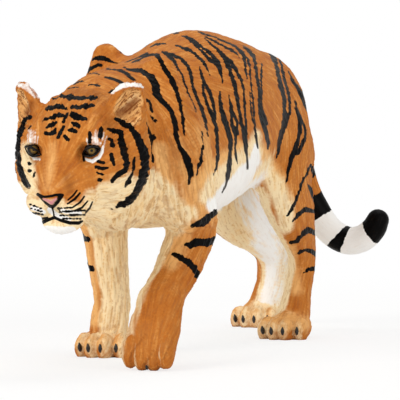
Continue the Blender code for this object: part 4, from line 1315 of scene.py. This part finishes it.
eyes = {
    "middle": (5.4, -6.66, 3.6),  # in the head's frame, on his left
    "radius": 1.15,
    "gaze": {"leftEye": (0.48, -0.86, 0.18), "rightEye": (0.40, -0.85, 0.34)},  # in the head's frame
    "iris": 0.62, "pupil": 0.22,  # radii, as shares of the eye's own radius
    "irisColour": painted(122, 94, 30), "irisRim": painted(64, 46, 14), "black": painted(6, 5, 5),
    "lids": {  # chains of x, y, z and half thickness, in the head's frame on his left
        "upper": ((3.9, -7.15, 2.8, 0.10), (4.25, -7.35, 3.5, 0.17), (4.9, -7.5, 4.1, 0.21),
                  (5.9, -7.4, 4.45, 0.21), (6.75, -6.95, 4.25, 0.17), (7.1, -6.4, 3.7, 0.10)),
        "lower": ((3.9, -7.15, 2.8, 0.10), (4.5, -7.45, 2.75, 0.15), (5.4, -7.5, 2.65, 0.17),
                  (6.2, -7.15, 2.85, 0.16), (6.8, -6.7, 3.25, 0.13), (7.1, -6.4, 3.7, 0.10)),
    },
}


def eyeMaterial():
    material, tree, shader = newMaterial("paintedEye")
    where = addNode(tree, "ShaderNodeTexCoord").outputs["Object"]
    apart = addNode(tree, "ShaderNodeSeparateXYZ")
    plug(tree, where, apart.inputs[0])
    radius = eyes["radius"] / place["metre"]
    across = calc(tree, "POWER", calc(tree, "DIVIDE", apart.outputs["X"], radius), 2.0)
    upward = calc(tree, "POWER", calc(tree, "DIVIDE", apart.outputs["Y"], radius), 2.0)
    ring = calc(tree, "SQRT", calc(tree, "ADD", across, upward))
    flecks = noiseAt(tree, where, 5200.0)
    colour = blendColours(tree, ease(tree, calc(tree, "MULTIPLY_ADD", flecks, 0.5, ring), 0.5, 0.85),
                          eyes["irisColour"], eyes["irisRim"])
    pupilShare = ease(tree, ring, eyes["pupil"] + 0.04, eyes["pupil"] - 0.02)
    colour = blendColours(tree, pupilShare, colour, eyes["black"])
    beyondIris = ease(tree, ring, eyes["iris"] - 0.03, eyes["iris"] + 0.03)
    colour = blendColours(tree, beyondIris, colour, eyes["black"])
    plug(tree, colour, shader.inputs["Base Color"])
    plug(tree, calc(tree, "MULTIPLY_ADD", flecks, 0.08, 0.14), shader.inputs["Roughness"])
    shader.inputs["Specular IOR Level"].default_value = 0.22
    shader.inputs["Coat Weight"].default_value = 0.08
    shader.inputs["Coat Roughness"].default_value = 0.08
    return material


def makeEye(name, sign, material):
    ball = bmesh.new()
    bmesh.ops.create_uvsphere(ball, u_segments=40, v_segments=24, radius=eyes["radius"] / place["metre"])
    for vertex in ball.verts:  # the front is a little flatter
        vertex.co.z *= 0.86 if vertex.co.z > 0 else 0.9
    data = bpy.data.meshes.new(name)
    ball.to_mesh(data)
    ball.free()
    eye = bpy.data.objects.new(name, data)
    bpy.context.scene.collection.objects.link(eye)
    flip = np.array([sign, 1.0, 1.0])
    centre = headTurn @ (np.array(eyes["middle"]) * flip) + headCentre
    gaze = headTurn @ np.array(eyes["gaze"][name])
    eye.location = settled(centre)
    eye.rotation_euler = Vector(gaze).to_track_quat("Z", "Y").to_euler()
    data.shade_smooth()
    data.materials.append(material)
    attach(eye, "root")
    return eye


def lidMaterial():
    material, tree, shader = newMaterial("paintedLid")
    mottle = noiseAt(tree, addNode(tree, "ShaderNodeTexCoord").outputs["Object"], 3000.0)
    plug(tree, blendColours(tree, ease(tree, mottle, 0.5, 0.8), eyes["black"], painted(34, 28, 26)),
         shader.inputs["Base Color"])
    plug(tree, calc(tree, "MULTIPLY_ADD", mottle, 0.2, 0.35), shader.inputs["Roughness"])
    shader.inputs["Specular IOR Level"].default_value = 0.2
    return material


def makeLids():  # a rounded roll along the upper and the lower edge of each eye
    points, faces = [], []
    circle = roundPoints(10)
    for sign in (1, -1):
        for chain in eyes["lids"].values():
            rows = smoothRows(chain, 5)
            rows[:, 0] *= sign
            rings = []
            for row, line in zip(rows, np.gradient(rows[:, :3], axis=0)):
                across = np.cross(line, (0, 1.0, 0))
                across /= np.linalg.norm(across)
                other = np.cross(line / np.linalg.norm(line), across)
                ring = row[:3] + row[3] * circle @ np.stack([across, other])
                rings.append(settled(ring @ headTurn.T + headCentre))
            joinRings(rings, points, faces)
    data = bpy.data.meshes.new("eyelids")
    data.from_pydata(points, [], faces)
    tidied = bmesh.new()
    tidied.from_mesh(data)
    bmesh.ops.recalc_face_normals(tidied, faces=tidied.faces[:])
    tidied.to_mesh(data)
    tidied.free()
    data.shade_smooth()
    data.materials.append(lidMaterial())
    lids = bpy.data.objects.new("eyelids", data)
    bpy.context.scene.collection.objects.link(lids)
    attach(lids, "root")


makeLids()
paintedEye = eyeMaterial()
makeEye("leftEye", 1, paintedEye)
makeEye("rightEye", -1, paintedEye)
print("eyes set")


# Claws: black teardrops, sunk in the front of each toe

claws = {
    "halfWidth": 0.40, "halfHeight": 0.95, "halfDepth": 0.55,
    "standing": (0.93, 1.9),  # how far along the toe, and the height
    "lean": 18.0, "steppingLean": 40.0,  # degrees that they lean back
    "stepping": (9.7, -58.0, 0.7), "steppingSize": 0.6,  # the lifted paw shows the tip of one
    "colour": painted(12, 11, 12),
}


def clawMaterial():
    material, tree, shader = newMaterial("paintedClaw")
    where = addNode(tree, "ShaderNodeTexCoord").outputs["Object"]
    mottle = noiseAt(tree, where, 2400.0)
    plug(tree, blendColours(tree, ease(tree, mottle, 0.5, 0.8), claws["colour"], painted(52, 46, 42)),
         shader.inputs["Base Color"])
    plug(tree, calc(tree, "MULTIPLY_ADD", mottle, 0.2, 0.28), shader.inputs["Roughness"])
    return material


def makeClaws():
    spots = []
    _, toeLength, _ = paws["toe"]
    for x, y, _ in paws["standing"]:
        for shareAcross, out in paws["toePlaces"]:
            along, height = claws["standing"]
            spot = (x + shareAcross * paws["toeSpacing"], y + out - toeLength * along, height)
            spots.append((spot, claws["lean"], paws["toeTurn"] * shareAcross, 1.0))
    spots.append((claws["stepping"], claws["steppingLean"], 0, claws["steppingSize"]))
    made = bmesh.new()
    for spot, lean, turn, size in spots:
        ball = bmesh.ops.create_uvsphere(made, u_segments=14, v_segments=12, radius=size)["verts"]
        for vertex in ball:  # pointed at the top, round at the bottom
            taper = 1 - 0.55 * max(vertex.co.z, 0) ** 1.2
            vertex.co.x *= claws["halfWidth"] * taper
            vertex.co.y *= claws["halfDepth"] * taper
            vertex.co.z *= claws["halfHeight"]
        turned = Matrix.Rotation(math.radians(turn), 4, "Z") @ Matrix.Rotation(math.radians(lean), 4, "X")
        bmesh.ops.transform(made, matrix=Matrix.Translation(spot) @ turned, verts=ball)
    settleMesh(made)
    data = bpy.data.meshes.new("claws")
    made.to_mesh(data)
    made.free()
    data.shade_smooth()
    data.materials.append(clawMaterial())
    piece = bpy.data.objects.new("claws", data)
    bpy.context.scene.collection.objects.link(piece)
    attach(piece, "root")


makeClaws()
print("claws set")


# Floor, light and camera

studio = {
    "floorSize": 8.0,
    "floorColour": painted(246, 246, 246),
    "floorGlow": 0.72,  # how much of the camera's view of the floor is plain white, near him
    "glowReach": (0.07, 0.30),  # metres from him between which it grows to all of it
    "skyColour": (1.0, 0.99, 0.97, 1), "skyLevel": 0.58,
    "lamps": {  # place in metres, side of the square lamp, watts, colour
        "keyLamp": ((-0.35, -0.90, 0.50), 0.45, 5.0, (1.0, 0.98, 0.95)),
        "fillLamp": ((0.85, -0.35, 0.45), 0.60, 2.7, (1.0, 0.98, 0.96)),
        "topLamp": ((0.05, 0.25, 0.85), 0.50, 2.0, (1.0, 1.0, 1.0)),
    },
}


def makeFloor():
    made = bmesh.new()
    bmesh.ops.create_grid(made, x_segments=1, y_segments=1, size=studio["floorSize"] / 2)
    data = bpy.data.meshes.new("floor")
    made.to_mesh(data)
    made.free()
    floor = bpy.data.objects.new("floor", data)
    bpy.context.scene.collection.objects.link(floor)
    material, tree, shader = newMaterial("paleFloor")
    shader.inputs["Base Color"].default_value = studio["floorColour"]
    shader.inputs["Roughness"].default_value = 0.9
    glow = addNode(tree, "ShaderNodeEmission")
    glow.inputs["Strength"].default_value = 1.0
    away = addNode(tree, "ShaderNodeVectorMath", operation="LENGTH")
    plug(tree, addNode(tree, "ShaderNodeTexCoord").outputs["Object"], away.inputs[0])
    share = ease(tree, away.outputs["Value"], *studio["glowReach"], fromLow=studio["floorGlow"])
    mix = addNode(tree, "ShaderNodeMixShader")
    plug(tree, calc(tree, "MULTIPLY", addNode(tree, "ShaderNodeLightPath").outputs["Is Camera Ray"], share),
         mix.inputs[0])
    tree.links.new(shader.outputs[0], mix.inputs[1])
    tree.links.new(glow.outputs[0], mix.inputs[2])
    tree.links.new(mix.outputs[0], tree.nodes["Material Output"].inputs["Surface"])
    data.materials.append(material)


def makeSky():
    sky = bpy.data.worlds.new("sky")
    sky.use_nodes = True
    tree = sky.node_tree
    light = tree.nodes["Background"]
    light.inputs["Color"].default_value = studio["skyColour"]
    light.inputs["Strength"].default_value = studio["skyLevel"]
    seen = addNode(tree, "ShaderNodeBackground")
    seen.inputs["Color"].default_value = (1, 1, 1, 1)
    seen.inputs["Strength"].default_value = 1.0
    mix = addNode(tree, "ShaderNodeMixShader")
    plug(tree, addNode(tree, "ShaderNodeLightPath").outputs["Is Camera Ray"], mix.inputs[0])
    tree.links.new(light.outputs[0], mix.inputs[1])
    tree.links.new(seen.outputs[0], mix.inputs[2])
    tree.links.new(mix.outputs[0], tree.nodes["World Output"].inputs["Surface"])
    bpy.context.scene.world = sky


def makeLamps():
    for name, (spot, size, watts, colour) in studio["lamps"].items():
        data = bpy.data.lights.new(name, "AREA")
        data.shape = "SQUARE"
        data.size = size
        data.energy = watts
        data.color = colour
        lamp = bpy.data.objects.new(name, data)
        lamp.location = spot
        lamp.rotation_euler = (Vector((0, 0, 0.03)) - Vector(spot)).to_track_quat("-Z", "Y").to_euler()
        bpy.context.scene.collection.objects.link(lamp)


def makeCamera():
    data = bpy.data.cameras.new("camera")
    data.lens = data.sensor_width * place["focal"] / place["photoSize"]
    data.clip_start = 0.01
    camera = bpy.data.objects.new("camera", data)
    camera.location = settled(np.array(place["eye"]))
    camera.rotation_euler = Vector(sightLine).to_track_quat("-Z", "Y").to_euler()
    bpy.context.scene.collection.objects.link(camera)
    bpy.context.scene.camera = camera


makeFloor()
makeSky()
makeLamps()
makeCamera()
bpy.context.scene.view_settings.view_transform = "Standard"
print("studio ready")
